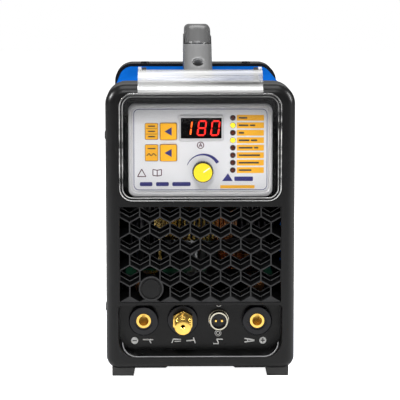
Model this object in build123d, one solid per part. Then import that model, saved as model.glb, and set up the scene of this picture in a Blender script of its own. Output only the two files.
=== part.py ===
from build123d import *
import math
import os

# Compact inverter welding machine: a black moulded front and rear bezel joined by a
# folded blue steel cover and a base plate, with its controls under a clear flip-up
# door, a honeycomb air outlet, four front connectors and a carrying handle on top.
# Frame: +X to the right seen from the front, -Y to the front, +Z up, origin on the
# floor at the middle of the machine. Millimetres.

# ---- case -----------------------------------------------------------------------
HALF_WIDTH = 88.5
FRONT_Y = -205.0
REAR_Y = 195.0
CASE_BOTTOM = 7.0
CASE_TOP = 276.0
TOP_CORNER_R = 19.0
BOTTOM_CORNER_R = 12.0
BEZEL_EDGE_R = 10.0
BEZEL_DEPTH = 52.0
BEZEL_FACE = 6.0
BEZEL_SIDE_WALL = 4.1
BEZEL_TOP_WALL = 3.0
BEZEL_FLOOR_WALL = 5.4
FACE_BACK = FRONT_Y + BEZEL_FACE
FRONT_BEZEL_BACK = FRONT_Y + BEZEL_DEPTH
REAR_BEZEL_FRONT = REAR_Y - BEZEL_DEPTH
REAR_FACE = REAR_Y - BEZEL_FACE

# ---- sheet metal ----------------------------------------------------------------
SHEET = 1.5
SHEET_GAP = 0.3
COVER_HALF = HALF_WIDTH - BEZEL_SIDE_WALL - SHEET_GAP
COVER_TOP = CASE_TOP - BEZEL_TOP_WALL - SHEET_GAP
COVER_CORNER_R = 14.5
COVER_LAP = 12.0
COVER_FRONT = FRONT_BEZEL_BACK - COVER_LAP
COVER_REAR = REAR_BEZEL_FRONT + COVER_LAP
BASE_Z = CASE_BOTTOM + BEZEL_FLOOR_WALL + SHEET_GAP
BASE_TOP = BASE_Z + SHEET
BASE_HALF = COVER_HALF - SHEET - 0.1
BASE_LIP = 22.0

# ---- feet -----------------------------------------------------------------------
FOOT_OUTER_X = 83.2
FOOT_INNER_X = 60.6
FOOT_SLANT = 2.4
FOOT_LENGTH = 30.0
FOOT_FRONT_Y = FRONT_Y + 6.0
FOOT_REAR_Y = REAR_Y - 6.0 - FOOT_LENGTH

# ---- control recess and panel ---------------------------------------------------
RECESS_HALF = 72.0
RECESS_BOTTOM = 168.3
RECESS_TOP = 264.6
RECESS_R = 9.0
RECESS_FLOOR_Y = FRONT_Y + 17.0
RECESS_FLOOR_THICK = 2.0
PLATE_LEFT = -67.2
PLATE_RIGHT = 67.5
PLATE_BOTTOM = 169.9
PLATE_TOP = 257.3
PLATE_R = 7.0
PLATE_FRONT_Y = FRONT_Y + 9.0
OVERLAY_LEFT = -63.6
OVERLAY_RIGHT = 64.1
OVERLAY_BOTTOM = 174.4
OVERLAY_TOP = 253.3
OVERLAY_R = 5.0
OVERLAY_BACK_Y = FRONT_Y + 14.0
OVERLAY_THICK = 0.4
OVERLAY_FRONT_Y = OVERLAY_BACK_Y - OVERLAY_THICK

DISPLAY_X = 0.9
DISPLAY_Z = 234.0
DISPLAY_FRAME_W = 41.8
DISPLAY_FRAME_H = 24.5
DISPLAY_GLASS_W = 38.2
DISPLAY_GLASS_H = 19.4

KEY_X = -29.7
KEY_ROWS = (("mode_button", 231.0), ("wave_button", 210.9))
KEY_W = 15.2
KEY_H = 15.5
KEY_GAP = 0.35
KEY_PROUD = 2.0
KEY_FLANGE = 1.7
KEY_TRAVEL = 0.5

LED_X = 30.5
LED_TOP_Z = 243.6
LED_PITCH = 7.02
LED_COUNT = 8
LED_R = 2.6

KNOB_X = 2.4
KNOB_Z = 193.3
KNOB_SKIRT_R = 10.0
KNOB_CAP_R = 8.7
KNOB_FRONT_Y = FRONT_Y + 2.0
SHAFT_R = 3.0

BOARD_FRONT_Y = FRONT_Y + 23.0
BOARD_THICK = 1.6
BOARD_HALF = 60.0
BOARD_BOTTOM = 176.0
BOARD_TOP = 252.0
STANDOFF_X = 57.0

# ---- clear door -----------------------------------------------------------------
DOOR_HALF = 76.0
DOOR_BOTTOM = 166.7
DOOR_TOP = 268.0
DOOR_R = 13.0
DOOR_THICK = 2.5
DOOR_FRONT_Y = FRONT_Y - 3.5
DOOR_RIM = 2.0
DOOR_GAP = 0.5
HINGE_Y = FRONT_Y + 30.0
HINGE_Z = CASE_TOP + 10.5
HOOD_TOP = CASE_TOP + 12.0
HOOD_HALF = 58.0
HOOD_WALL = 3.3
HOOD_R = 24.0
LUG_R = 3.8
HINGE_PIN_R = 1.5
EAR_THICK = 4.0
EAR_R = 3.4
SNAP_X = 34.3

# ---- honeycomb grille -----------------------------------------------------------
GRILLE_HALF = 75.6
GRILLE_BOTTOM = 70.9
GRILLE_TOP = 161.5
GRILLE_FRONT_Y = FRONT_Y + 1.5
GRILLE_BACK_Y = FRONT_Y + 16.0
GRILLE_FLANGE = 2.0
CELL_PITCH = 18.9
CELL_SIDE = 9.8
CELL_SLANT = 5.36
CELL_WALL = 1.2
CELL_ROWS = 6
CELL_ROW_PITCH = CELL_SIDE + CELL_SLANT
CELL_RISE = 6.6
PLUG_X = -46.1
PLUG_Z = 84.4
PLUG_BOSS_R = 11.55
PLUG_FLANGE_R = 10.1
PLUG_DISC_R = 8.55
PLUG_BARREL_R = 8.2

# ---- connector bay --------------------------------------------------------------
BAY_HALF = 77.0
BAY_BOTTOM = 18.6
BAY_TOP = 68.6
BAY_RISE = 2.9
BAY_TOP_R = 3.5
BAY_BOTTOM_R = 16.0
BAY_WALL = 2.0
BAY_BACK_Y = FRONT_Y + 24.0
BAY_PLATE = 3.0
CONNECTOR_Z = 50.7
NEGATIVE_X = -53.5
TORCH_X = -16.5
CONTROL_X = 17.7
POSITIVE_X = 54.0
SOCKET_FLANGE_R = 14.1
SOCKET_INSERT_R = 6.8
SOCKET_BORE_R = 4.6
SOCKET_BORE_DEPTH = 24.0
TORCH_TIP_Y = FRONT_Y - 15.0
TORCH_TUBE_R = 7.8
AVIATION_R = 9.1
AVIATION_BORE_R = 6.2
AVIATION_MOUTH_R = 7.3

# ---- handle ---------------------------------------------------------------------
HANDLE_FRONT_Y = FRONT_Y + 145.0
HANDLE_REAR_Y = FRONT_Y + 340.0
HANDLE_HALF = 14.2
GRIP_HALF = 13.4
GRIP_ROUND = 5.0
HANDLE_TOP = 322.5
HANDLE_SEAM_Z = 304.5
HANDLE_RUN = 72.0
HANDLE_LEG = 30.0
GRIP_DEPTH = 18.0
CAP_DEPTH = 11.0
HANDLE_SCREW_INSET = 15.0

# ---- rear -----------------------------------------------------------------------
FAN_X = 0.0
FAN_Z = 147.0
FAN_SIZE = 120.0
FAN_DEPTH = 38.0
FAN_BORE_R = 57.0
FAN_BLADES = 7
SWITCH_X = 52.0
SWITCH_Z = 236.0
SWITCH_W = 30.0
SWITCH_H = 22.0
GLAND_X = -52.0
INLET_X = 52.0
REAR_PORT_Z = 42.0
PORT_LENGTH = 25.0
TAIL_R = 4.1

FIT = 0.1
SCREW_R = 2.0


def block(x0, x1, y0, y1, z0, z1):
    """A box between two corners."""
    middle = Pos((x0 + x1) / 2, (y0 + y1) / 2, (z0 + z1) / 2)
    return middle * Box(x1 - x0, y1 - y0, z1 - z0)


def prism_y(outline, y0, y1):
    """Extrudes an X-Z outline from y0 to y1."""
    plane = Plane(origin=(0, y1, 0), x_dir=(1, 0, 0), z_dir=(0, -1, 0))
    return extrude(plane * outline, amount=y1 - y0, dir=(0, -1, 0))


def prism_x(outline, x0, x1):
    """Extrudes a Y-Z outline from x0 to x1."""
    return extrude(Plane.YZ.offset(x0) * outline, amount=x1 - x0, dir=(1, 0, 0))


def rod_x(y, z, radius, x0, x1):
    return prism_x(Pos(y, z) * Circle(radius), x0, x1)


def rod_y(x, z, radius, y0, y1):
    return prism_y(Pos(x, z) * Circle(radius), y0, y1)


def rod_z(x, y, radius, z0, z1):
    return Pos(x, y, (z0 + z1) / 2) * Cylinder(radius, z1 - z0)


def tube_y(x, z, outer, inner, y0, y1):
    return rod_y(x, z, outer, y0, y1) - rod_y(x, z, inner, y0 - 1, y1 + 1)


def panel(x0, x1, z0, z1, radius):
    """A rounded X-Z rectangle between two corners."""
    return Pos((x0 + x1) / 2, (z0 + z1) / 2) * RectangleRounded(x1 - x0, z1 - z0, radius)


def arched(half, bottom, top, bottom_r, top_r):
    """An X-Z rectangle with one radius at the bottom corners and one at the top."""
    outline = Pos(0, (bottom + top) / 2) * Rectangle(2 * half, top - bottom)
    outline = fillet(outline.vertices().group_by(Axis.Y)[0], bottom_r)
    return fillet(outline.vertices().sort_by(Axis.Y)[-2:], top_r)


def joined(solids):
    """One group of separate solids."""
    return Compound(children=list(solids))


def both_sides(make):
    return joined([make(-1), make(1)])


# ---- case -----------------------------------------------------------------------

def bezel_block(y0, y1, outer_face):
    """The full outside of a bezel, with a large radius round its outer face."""
    outline = arched(HALF_WIDTH, CASE_BOTTOM, CASE_TOP, BOTTOM_CORNER_R, TOP_CORNER_R)
    solid = prism_y(outline, y0, y1)
    return fillet(solid.faces().sort_by(Axis.Y)[outer_face].edges(), BEZEL_EDGE_R)


def bezel_cavity(y0, y1):
    half = HALF_WIDTH - BEZEL_SIDE_WALL
    bottom = CASE_BOTTOM + BEZEL_FLOOR_WALL
    top = CASE_TOP - BEZEL_TOP_WALL
    return prism_y(arched(half, bottom, top, 1.0, COVER_CORNER_R + SHEET_GAP), y0, y1)


def belly_notch(y0, y1):
    """The shallow raised middle of a bezel's lower edge."""
    low = CASE_BOTTOM - 1.0
    high = CASE_BOTTOM + 2.4
    outline = Polygon((-34, low), (34, low), (31, high), (-31, high), align=None)
    return prism_y(outline, y0, y1)


def control_window():
    return panel(-53, 53, 182, 250, 3)


def hinge_ear(side):
    """An upright lug on the bezel's top edge that holds one hinge pin."""
    outer = side * (HOOD_HALF - HOOD_WALL - 0.4)
    inner = outer - side * EAR_THICK
    x0, x1 = sorted((inner, outer))
    ear = block(x0, x1, HINGE_Y - EAR_R, HINGE_Y + EAR_R, CASE_TOP - 1.0, HINGE_Z)
    ear += rod_x(HINGE_Y, HINGE_Z, EAR_R, x0, x1)
    return ear - rod_x(HINGE_Y, HINGE_Z, HINGE_PIN_R, x0 - 1, x1 + 1)


def bay_outline(bottom, grow):
    return arched(BAY_HALF + grow, bottom - grow, BAY_TOP + grow,
                  BAY_BOTTOM_R + grow, BAY_TOP_R + grow)


def bay_space():
    """The connector bay's hollow, whose floor rises towards the back."""
    front = Plane(origin=(0, FRONT_Y - 1, 0), x_dir=(1, 0, 0), z_dir=(0, -1, 0))
    back = Plane(origin=(0, BAY_BACK_Y + 1, 0), x_dir=(1, 0, 0), z_dir=(0, -1, 0))
    near = front * bay_outline(BAY_BOTTOM, 0)
    far = back * bay_outline(BAY_BOTTOM + BAY_RISE, 0)
    return loft([near.faces()[0], far.faces()[0]], ruled=True)


def front_panel():
    shell = bezel_block(FRONT_Y, FRONT_BEZEL_BACK, 0)
    shell -= bezel_cavity(FACE_BACK, FRONT_BEZEL_BACK + 1)
    floor_back = RECESS_FLOOR_Y + RECESS_FLOOR_THICK
    shell += prism_y(panel(-RECESS_HALF - 2.4, RECESS_HALF + 2.4, RECESS_BOTTOM - 2.4,
                           RECESS_TOP + 2.4, RECESS_R + 2), FACE_BACK - 1, floor_back)
    shell += prism_y(bay_outline(BAY_BOTTOM, BAY_WALL), FACE_BACK - 1, BAY_BACK_Y)
    shell -= prism_y(panel(-RECESS_HALF, RECESS_HALF, RECESS_BOTTOM, RECESS_TOP, RECESS_R),
                     FRONT_Y - 1, RECESS_FLOOR_Y)
    shell -= prism_y(control_window(), RECESS_FLOOR_Y - 1, floor_back + 1)
    shell -= block(-GRILLE_HALF, GRILLE_HALF, FRONT_Y - 1, FACE_BACK + 1,
                   GRILLE_BOTTOM, GRILLE_TOP)
    shell -= bay_space()
    shell -= belly_notch(FRONT_Y - 1, FRONT_BEZEL_BACK + 1)
    for side in (-1, 1):
        shell += hinge_ear(side)
        snap = side * SNAP_X
        shell -= block(snap - 4, snap + 4, FRONT_Y - 1, FRONT_Y + 4.5,
                       RECESS_BOTTOM - 1.6, RECESS_BOTTOM + 1)
        for y, z in screw_seats():
            shell -= rod_x(y, z, SCREW_R + FIT, side * 80, side * 90)
    return shell


def fan_screw_points():
    reach = 52.5
    return [(FAN_X + i * reach, FAN_Z + j * reach) for i in (-1, 1) for j in (-1, 1)]


def rear_panel():
    shell = bezel_block(REAR_BEZEL_FRONT, REAR_Y, -1)
    shell -= bezel_cavity(REAR_BEZEL_FRONT - 1, REAR_FACE)
    shell -= belly_notch(REAR_BEZEL_FRONT - 1, REAR_Y + 1)
    shell -= rod_y(FAN_X, FAN_Z, FAN_BORE_R, REAR_FACE - 1, REAR_Y + 1)
    for x, z in fan_screw_points():
        shell -= rod_y(x, z, SCREW_R + FIT, REAR_FACE - 1, REAR_Y + 1)
    shell -= prism_y(panel(SWITCH_X - SWITCH_W / 2 - FIT, SWITCH_X + SWITCH_W / 2 + FIT,
                           SWITCH_Z - SWITCH_H / 2 - FIT, SWITCH_Z + SWITCH_H / 2 + FIT, 1),
                     REAR_FACE - 1, REAR_Y + 1)
    shell -= rod_y(GLAND_X, REAR_PORT_Z, 10.1, REAR_FACE - 1, REAR_Y + 1)
    shell -= rod_y(INLET_X, REAR_PORT_Z, 6.6, REAR_FACE - 1, REAR_Y + 1)
    for side in (-1, 1):
        x = side * 55.5
        shell -= rod_z(x, REAR_BEZEL_FRONT + 8, SCREW_R + FIT, COVER_TOP - 5, CASE_TOP + 1)
    return shell


def screw_seats():
    """Where the front bezel's side screws sit, as (y, z)."""
    y = FRONT_BEZEL_BACK - 7.0
    return ((y, 60.0), (y, 225.0))


def cover_slots():
    """Stamped air slots in both side walls, in two banks."""
    tools = []
    for bank_y in (-95.0, 60.0):
        for row in range(9):
            z = 70.0 + row * 9.0
            tools.append(block(-90, -70, bank_y, bank_y + 40, z, z + 3))
            tools.append(block(70, 90, bank_y, bank_y + 40, z, z + 3))
    return tools


def top_cover():
    outer = arched(COVER_HALF, BASE_Z, COVER_TOP, 1.0, COVER_CORNER_R)
    inner = arched(COVER_HALF - SHEET, BASE_Z - 5, COVER_TOP - SHEET, 0.5,
                   COVER_CORNER_R - SHEET)
    cover = prism_y(outer, COVER_FRONT, COVER_REAR)
    cover -= prism_y(inner, COVER_FRONT - 1, COVER_REAR + 1)
    cover -= cover_slots()
    for y in handle_screw_points():
        cover -= rod_z(0, y, SCREW_R + FIT, COVER_TOP - 5, COVER_TOP + 1)
    for side in (-1, 1):
        cover -= rod_z(side * 55.5, REAR_BEZEL_FRONT + 8, SCREW_R + FIT,
                       COVER_TOP - 5, COVER_TOP + 1)
        for y, z in screw_seats():
            cover -= rod_x(y, z, SCREW_R + FIT, side * 80, side * 86)
        for y in (-100.0, 90.0):
            cover -= rod_x(y, BASE_Z + 12, SCREW_R + FIT, side * 80, side * 86)
    return cover


def base_plate():
    tray = block(-BASE_HALF, BASE_HALF, COVER_FRONT, COVER_REAR, BASE_Z, BASE_TOP)
    for side in (-1, 1):
        x0, x1 = sorted((side * BASE_HALF, side * (BASE_HALF - SHEET)))
        lip = block(x0, x1, COVER_FRONT, COVER_REAR, BASE_Z, BASE_Z + BASE_LIP)
        for y in (-100.0, 90.0):
            lip -= rod_x(y, BASE_Z + 12, SCREW_R + FIT, x0 - 1, x1 + 1)
        tray += lip
    return tray


def pan_screw_x(side, y, z, seat, length):
    """A pan-head screw driven inwards along X from a side wall."""
    head = rod_x(y, z, 3.8, *sorted((side * seat, side * (seat + 1.8))))
    head -= block(-90, 90, y - 0.5, y + 0.5, z - 2.6, z + 2.6) - block(
        -seat - 0.9, seat + 0.9, y - 9, y + 9, z - 9, z + 9)
    return head + rod_x(y, z, SCREW_R, *sorted((side * seat, side * (seat - length))))


def case_screws():
    """Every screw of the case: side screws, two on the rear bezel's top, foot screws."""
    screws = [pan_screw_x(side, y, BASE_Z + 12, COVER_HALF, 8.0)
              for side in (-1, 1) for y in (-100.0, 90.0)]
    screws += [pan_screw_x(side, y, z, HALF_WIDTH, 9.0)
               for side in (-1, 1) for y, z in screw_seats()]
    for side in (-1, 1):
        x = side * 55.5
        y = REAR_BEZEL_FRONT + 8
        head = rod_z(x, y, 4.5, CASE_TOP, CASE_TOP + 1.8)
        head -= block(x - 3, x + 3, y - 0.5, y + 0.5, CASE_TOP + 0.9, CASE_TOP + 3)
        head -= block(x - 0.5, x + 0.5, y - 3, y + 3, CASE_TOP + 0.9, CASE_TOP + 3)
        screws.append(head + rod_z(x, y, SCREW_R, CASE_TOP - 6, CASE_TOP))
        screws += [foot_screw(side, y) for y in (FOOT_FRONT_Y, FOOT_REAR_Y)]
    return joined(screws)


def foot(side, y):
    outline = Polygon((side * FOOT_OUTER_X, 0), (side * FOOT_OUTER_X, 12),
                      (side * FOOT_INNER_X, 12),
                      (side * (FOOT_INNER_X + FOOT_SLANT), 0), align=None)
    pad = prism_y(outline, y, y + FOOT_LENGTH)
    pad -= bezel_block(FRONT_Y, FRONT_BEZEL_BACK, 0)
    pad -= bezel_block(REAR_BEZEL_FRONT, REAR_Y, -1)
    pad = pad.solids().sort_by(Axis.Z)[0]
    x = side * (FOOT_INNER_X + FOOT_OUTER_X) / 2
    return pad - rod_z(x, y + FOOT_LENGTH / 2, 4.0, -1, 4.0)


def feet():
    return joined([foot(side, y) for side in (-1, 1) for y in (FOOT_FRONT_Y, FOOT_REAR_Y)])


def foot_screw(side, y):
    x = side * (FOOT_INNER_X + FOOT_OUTER_X) / 2
    head = rod_z(x, y + FOOT_LENGTH / 2, 3.6, 1.6, 4.0)
    return head - block(x - 2.5, x + 2.5, y + 14.6, y + 15.4, 0, 2.6)


# ---- controls -------------------------------------------------------------------

def key_hole(z, grow):
    half_w = KEY_W / 2 + grow
    half_h = KEY_H / 2 + grow
    return panel(KEY_X - half_w, KEY_X + half_w, z - half_h, z + half_h, 1.2)


def led_points():
    return [LED_TOP_Z - i * LED_PITCH for i in range(LED_COUNT)]


def display_rect(width, height, radius):
    return Pos(DISPLAY_X, DISPLAY_Z) * RectangleRounded(width, height, radius)


def control_cutouts(y0, y1):
    """The holes that the plate and its printed overlay share."""
    tools = [prism_y(key_hole(z, KEY_GAP), y0, y1) for _, z in KEY_ROWS]
    tools += [rod_y(LED_X, z, LED_R + FIT, y0, y1) for z in led_points()]
    tools.append(rod_y(KNOB_X, KNOB_Z, 5.2, y0, y1))
    tools.append(prism_y(display_rect(DISPLAY_GLASS_W, DISPLAY_GLASS_H, 0.8), y0, y1))
    return tools


def control_bezel():
    rim = prism_y(panel(PLATE_LEFT, PLATE_RIGHT, PLATE_BOTTOM, PLATE_TOP, PLATE_R),
                  PLATE_FRONT_Y, RECESS_FLOOR_Y)
    pocket = panel(OVERLAY_LEFT, OVERLAY_RIGHT, OVERLAY_BOTTOM, OVERLAY_TOP, OVERLAY_R)
    rim -= prism_y(pocket, PLATE_FRONT_Y - 1, OVERLAY_BACK_Y)
    inner = rim.faces().sort_by(Axis.Y)[0].inner_wires()[0].edges()
    rim = chamfer(inner, 1.6)
    outer = rim.faces().sort_by(Axis.Y)[0].outer_wire().edges()
    rim = chamfer(outer, 0.8)
    rim -= control_cutouts(OVERLAY_BACK_Y - 1, RECESS_FLOOR_Y + 1)
    return rim


def control_overlay():
    sheet = panel(OVERLAY_LEFT + FIT, OVERLAY_RIGHT - FIT, OVERLAY_BOTTOM + FIT,
                  OVERLAY_TOP - FIT, OVERLAY_R)
    overlay = prism_y(sheet, OVERLAY_FRONT_Y, OVERLAY_BACK_Y)
    return overlay - control_cutouts(OVERLAY_FRONT_Y - 1, OVERLAY_BACK_Y + 1)


def display_frame():
    """The raised surround of the current display."""
    frame = prism_y(display_rect(DISPLAY_FRAME_W, DISPLAY_FRAME_H, 2.2),
                    OVERLAY_FRONT_Y - 1.4, OVERLAY_FRONT_Y)
    outer = frame.faces().sort_by(Axis.Y)[0].edges()
    frame = chamfer(outer, 0.5)
    return frame - prism_y(display_rect(DISPLAY_GLASS_W, DISPLAY_GLASS_H, 0.8),
                           OVERLAY_FRONT_Y - 3, OVERLAY_FRONT_Y + 1)


def display_window():
    return prism_y(display_rect(DISPLAY_GLASS_W - 0.2, DISPLAY_GLASS_H - 0.2, 0.7),
                   OVERLAY_FRONT_Y - 0.6, OVERLAY_FRONT_Y + 0.6)


def display_module():
    """The three-digit LED display block on the control board."""
    return block(DISPLAY_X - 18.5, DISPLAY_X + 18.5, OVERLAY_FRONT_Y + 1.0, BOARD_FRONT_Y,
                 DISPLAY_Z - 9.4, DISPLAY_Z + 9.4)


def push_button(z):
    flange_y = RECESS_FLOOR_Y + 0.4
    cap = prism_y(key_hole(z, 0), OVERLAY_FRONT_Y - KEY_PROUD, flange_y)
    cap = chamfer(cap.faces().sort_by(Axis.Y)[0].edges(), 0.5)
    grow = KEY_FLANGE
    return cap + prism_y(key_hole(z, grow), flange_y, flange_y + 1.2)


def key_switches():
    """Tact switches behind the two buttons, clear of their full travel."""
    front = RECESS_FLOOR_Y + 0.4 + 1.2 + KEY_TRAVEL + 0.4
    return joined([block(KEY_X - 6, KEY_X + 6, front, BOARD_FRONT_Y, z - 6, z + 6)
                   for _, z in KEY_ROWS])


def indicator_leds():
    leds = []
    for z in led_points():
        lamp = rod_y(LED_X, z, LED_R, OVERLAY_FRONT_Y - 0.9, BOARD_FRONT_Y)
        leds.append(fillet(lamp.faces().sort_by(Axis.Y)[0].edges(), 0.8))
    return joined(leds)


def knob_skirt():
    back = OVERLAY_FRONT_Y - 0.6
    skirt = rod_y(KNOB_X, KNOB_Z, KNOB_SKIRT_R, KNOB_FRONT_Y + 2.0, back)
    skirt = chamfer(skirt.faces().sort_by(Axis.Y)[0].edges(), 0.6)
    return skirt - rod_y(KNOB_X, KNOB_Z, SHAFT_R, KNOB_FRONT_Y + 4.0, back + 1)


def knob_cap():
    cap = rod_y(KNOB_X, KNOB_Z, KNOB_CAP_R, KNOB_FRONT_Y, KNOB_FRONT_Y + 2.0)
    return fillet(cap.faces().sort_by(Axis.Y)[0].edges(), 0.9)


def potentiometer_shaft():
    """The turning shaft with its wiper disc inside the potentiometer."""
    shaft = rod_y(KNOB_X, KNOB_Z, SHAFT_R, KNOB_FRONT_Y + 4.0, BOARD_FRONT_Y - 1.2)
    return shaft + rod_y(KNOB_X, KNOB_Z, 6.5, BOARD_FRONT_Y - 2.6, BOARD_FRONT_Y - 1.2)


def potentiometer_body():
    """The potentiometer's housing and threaded bush, open for the shaft."""
    front = RECESS_FLOOR_Y + RECESS_FLOOR_THICK - 1.0
    body = block(KNOB_X - 8.5, KNOB_X + 8.5, front, BOARD_FRONT_Y, KNOB_Z - 8.5, KNOB_Z + 8.5)
    body += rod_y(KNOB_X, KNOB_Z, 5.0, OVERLAY_BACK_Y + 0.2, front)
    body -= rod_y(KNOB_X, KNOB_Z, SHAFT_R + 0.05, OVERLAY_BACK_Y - 1, BOARD_FRONT_Y - 2)
    return body - rod_y(KNOB_X, KNOB_Z, 7.0, BOARD_FRONT_Y - 3.1, BOARD_FRONT_Y - 0.7)


def standoff_points():
    return [(x, z) for x in (-STANDOFF_X, STANDOFF_X) for z in (BOARD_BOTTOM + 5, BOARD_TOP - 5)]


def pcb_standoffs():
    back = RECESS_FLOOR_Y + RECESS_FLOOR_THICK
    return joined([rod_y(x, z, 2.8, back, BOARD_FRONT_Y) for x, z in standoff_points()])


def control_board():
    return block(-BOARD_HALF, BOARD_HALF, BOARD_FRONT_Y, BOARD_FRONT_Y + BOARD_THICK,
                 BOARD_BOTTOM, BOARD_TOP)


# ---- door and hood --------------------------------------------------------------

def hood_disc(radius):
    """Everything under a quarter-round that rises from the pane and turns back."""
    centre_y = DOOR_FRONT_Y + HOOD_R
    centre_z = HOOD_TOP - HOOD_R
    quarter = Pos(centre_y, centre_z) * Circle(radius)
    quarter &= Pos(centre_y - HOOD_R, centre_z + HOOD_R) * Rectangle(2 * HOOD_R, 2 * HOOD_R)
    flat = Pos((centre_y + HINGE_Y) / 2, centre_z + radius / 2)
    return quarter + flat * Rectangle(HINGE_Y - centre_y, radius)


def door_hood():
    band = hood_disc(HOOD_R) - hood_disc(HOOD_R - DOOR_THICK)
    cut = HINGE_Y - 5.0
    band -= Pos(cut + 50, HINGE_Z) * Rectangle(100, 100)
    return prism_x(band, -HOOD_HALF, HOOD_HALF)


def hood_end(side):
    """The cheek that closes one end of the hood and turns on the hinge pin."""
    cheek = hood_disc(HOOD_R) + Pos(HINGE_Y, HINGE_Z) * Circle(LUG_R)
    clearance = 1.0
    top = CASE_TOP + clearance
    edge_y = FRONT_Y + BEZEL_EDGE_R
    edge_z = CASE_TOP - BEZEL_EDGE_R
    cheek -= Pos(edge_y + 50, top - 50) * Rectangle(100, 100)
    cheek -= Pos(edge_y, edge_z) * Circle(BEZEL_EDGE_R + clearance)
    cheek -= Pos(FRONT_Y - clearance + 50, edge_z - 50) * Rectangle(100, 100)
    cheek -= Pos(HINGE_Y, HINGE_Z) * Circle(HINGE_PIN_R + FIT)
    x0, x1 = sorted((side * HOOD_HALF, side * (HOOD_HALF - HOOD_WALL)))
    return prism_x(cheek, x0, x1)


def clear_door():
    pane_back = DOOR_FRONT_Y + DOOR_THICK
    outline = panel(-DOOR_HALF, DOOR_HALF, DOOR_BOTTOM, DOOR_TOP, DOOR_R)
    door = prism_y(outline, DOOR_FRONT_Y, pane_back)
    door = chamfer(door.faces().sort_by(Axis.Y)[0].edges(), 0.7)
    rim = prism_y(outline, pane_back, FRONT_Y - DOOR_GAP)
    rim -= prism_y(panel(-DOOR_HALF + DOOR_RIM, DOOR_HALF - DOOR_RIM,
                         DOOR_BOTTOM + DOOR_RIM, DOOR_TOP - DOOR_RIM, DOOR_R - DOOR_RIM),
                   pane_back - 1, FRONT_Y + 1)
    door += rim
    door += door_hood()
    for side in (-1, 1):
        door += hood_end(side)
        snap = side * SNAP_X
        door += block(snap - 2.5, snap + 2.5, pane_back - 0.5, FRONT_Y + 2.5,
                      RECESS_BOTTOM + 0.2, RECESS_BOTTOM + 2.0)
    return door


def door_hinge_pin(side):
    """A plain pin, fixed in the ear and flush with the outside of the cheek."""
    ear_inner = HOOD_HALF - HOOD_WALL - 0.4 - EAR_THICK
    return rod_x(HINGE_Y, HINGE_Z, HINGE_PIN_R, *sorted((side * ear_inner, side * HOOD_HALF)))


# ---- grille ---------------------------------------------------------------------

def cell_outline(x, z, rise):
    """A pointed-top hexagon whose lower V stands higher by rise."""
    half = (CELL_PITCH - CELL_WALL) / 2
    slope = CELL_SLANT / (CELL_PITCH / 2)
    tip = CELL_SIDE / 2 + CELL_SLANT - CELL_WALL / 2 * math.hypot(1, slope)
    shoulder = tip - half * slope
    points = [(0, tip), (half, shoulder), (half, rise - shoulder), (0, rise - tip),
              (-half, rise - shoulder), (-half, shoulder)]
    return Polygon(*[(x + px, z + pz) for px, pz in points], align=None)


def cell_tool(x, z):
    """One air cell: straight upper walls and a lower V that climbs to the back."""
    front = Plane(origin=(0, GRILLE_FRONT_Y, 0), x_dir=(1, 0, 0), z_dir=(0, -1, 0))
    back = Plane(origin=(0, GRILLE_BACK_Y, 0), x_dir=(1, 0, 0), z_dir=(0, -1, 0))
    near = front * cell_outline(x, z, 0)
    far = back * cell_outline(x, z, CELL_RISE)
    return loft([near.faces()[0], far.faces()[0]], ruled=True)


def cell_centres():
    bottom_row = GRILLE_BOTTOM + CELL_SIDE / 2 + CELL_SLANT
    centres = []
    for row in range(CELL_ROWS):
        z = bottom_row + row * CELL_ROW_PITCH
        whole = row % 2 == 0
        for i in range(-4, 5):
            if whole or i < 4:
                x = (i if whole else i + 0.5) * CELL_PITCH
                centres.append((x, z))
    return centres


def front_grille():
    flange_y = FACE_BACK
    lattice = block(-GRILLE_HALF + 0.2, GRILLE_HALF - 0.2, GRILLE_FRONT_Y, flange_y,
                    GRILLE_BOTTOM + 0.2, GRILLE_TOP - 0.2)
    lattice += block(-GRILLE_HALF - GRILLE_FLANGE, GRILLE_HALF + GRILLE_FLANGE, flange_y,
                     GRILLE_BACK_Y, GRILLE_BOTTOM - 0.2, GRILLE_TOP + GRILLE_FLANGE)
    window = block(-GRILLE_HALF, GRILLE_HALF, FRONT_Y - 1, GRILLE_BACK_Y + 1,
                   GRILLE_BOTTOM, GRILLE_TOP)
    tools = []
    for x, z in cell_centres():
        tool = cell_tool(x, z)
        edge = abs(x) > 3.8 * CELL_PITCH or z + CELL_SIDE > GRILLE_TOP
        tools.append(tool & window if edge else tool)
    lattice -= tools
    boss = rod_y(PLUG_X, PLUG_Z, PLUG_BOSS_R, FRONT_Y + 0.5, GRILLE_BACK_Y)
    lattice += boss
    lattice -= rod_y(PLUG_X, PLUG_Z, PLUG_FLANGE_R + FIT, FRONT_Y - 1, FRONT_Y + 4.0)
    return lattice - rod_y(PLUG_X, PLUG_Z, PLUG_BARREL_R + FIT, FRONT_Y, GRILLE_BACK_Y + 1)


def blanking_plug():
    plug = rod_y(PLUG_X, PLUG_Z, PLUG_FLANGE_R, FRONT_Y + 2.2, FRONT_Y + 4.0)
    plug += rod_y(PLUG_X, PLUG_Z, PLUG_DISC_R, FRONT_Y + 0.8, FRONT_Y + 2.2)
    plug += rod_y(PLUG_X, PLUG_Z, PLUG_BARREL_R, FRONT_Y + 4.0, GRILLE_BACK_Y - 2)
    return plug


# ---- connector bay --------------------------------------------------------------

def connector_plate():
    outline = bay_outline(BAY_BOTTOM, BAY_WALL)
    plate = prism_y(outline, BAY_BACK_Y, BAY_BACK_Y + BAY_PLATE)
    holes = ((NEGATIVE_X, 8.2), (TORCH_X, 6.2), (CONTROL_X, 7.4), (POSITIVE_X, 8.2))
    for x, radius in holes:
        plate -= rod_y(x, CONNECTOR_Z, radius, BAY_BACK_Y - 1, BAY_BACK_Y + BAY_PLATE + 1)
    return plate


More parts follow.
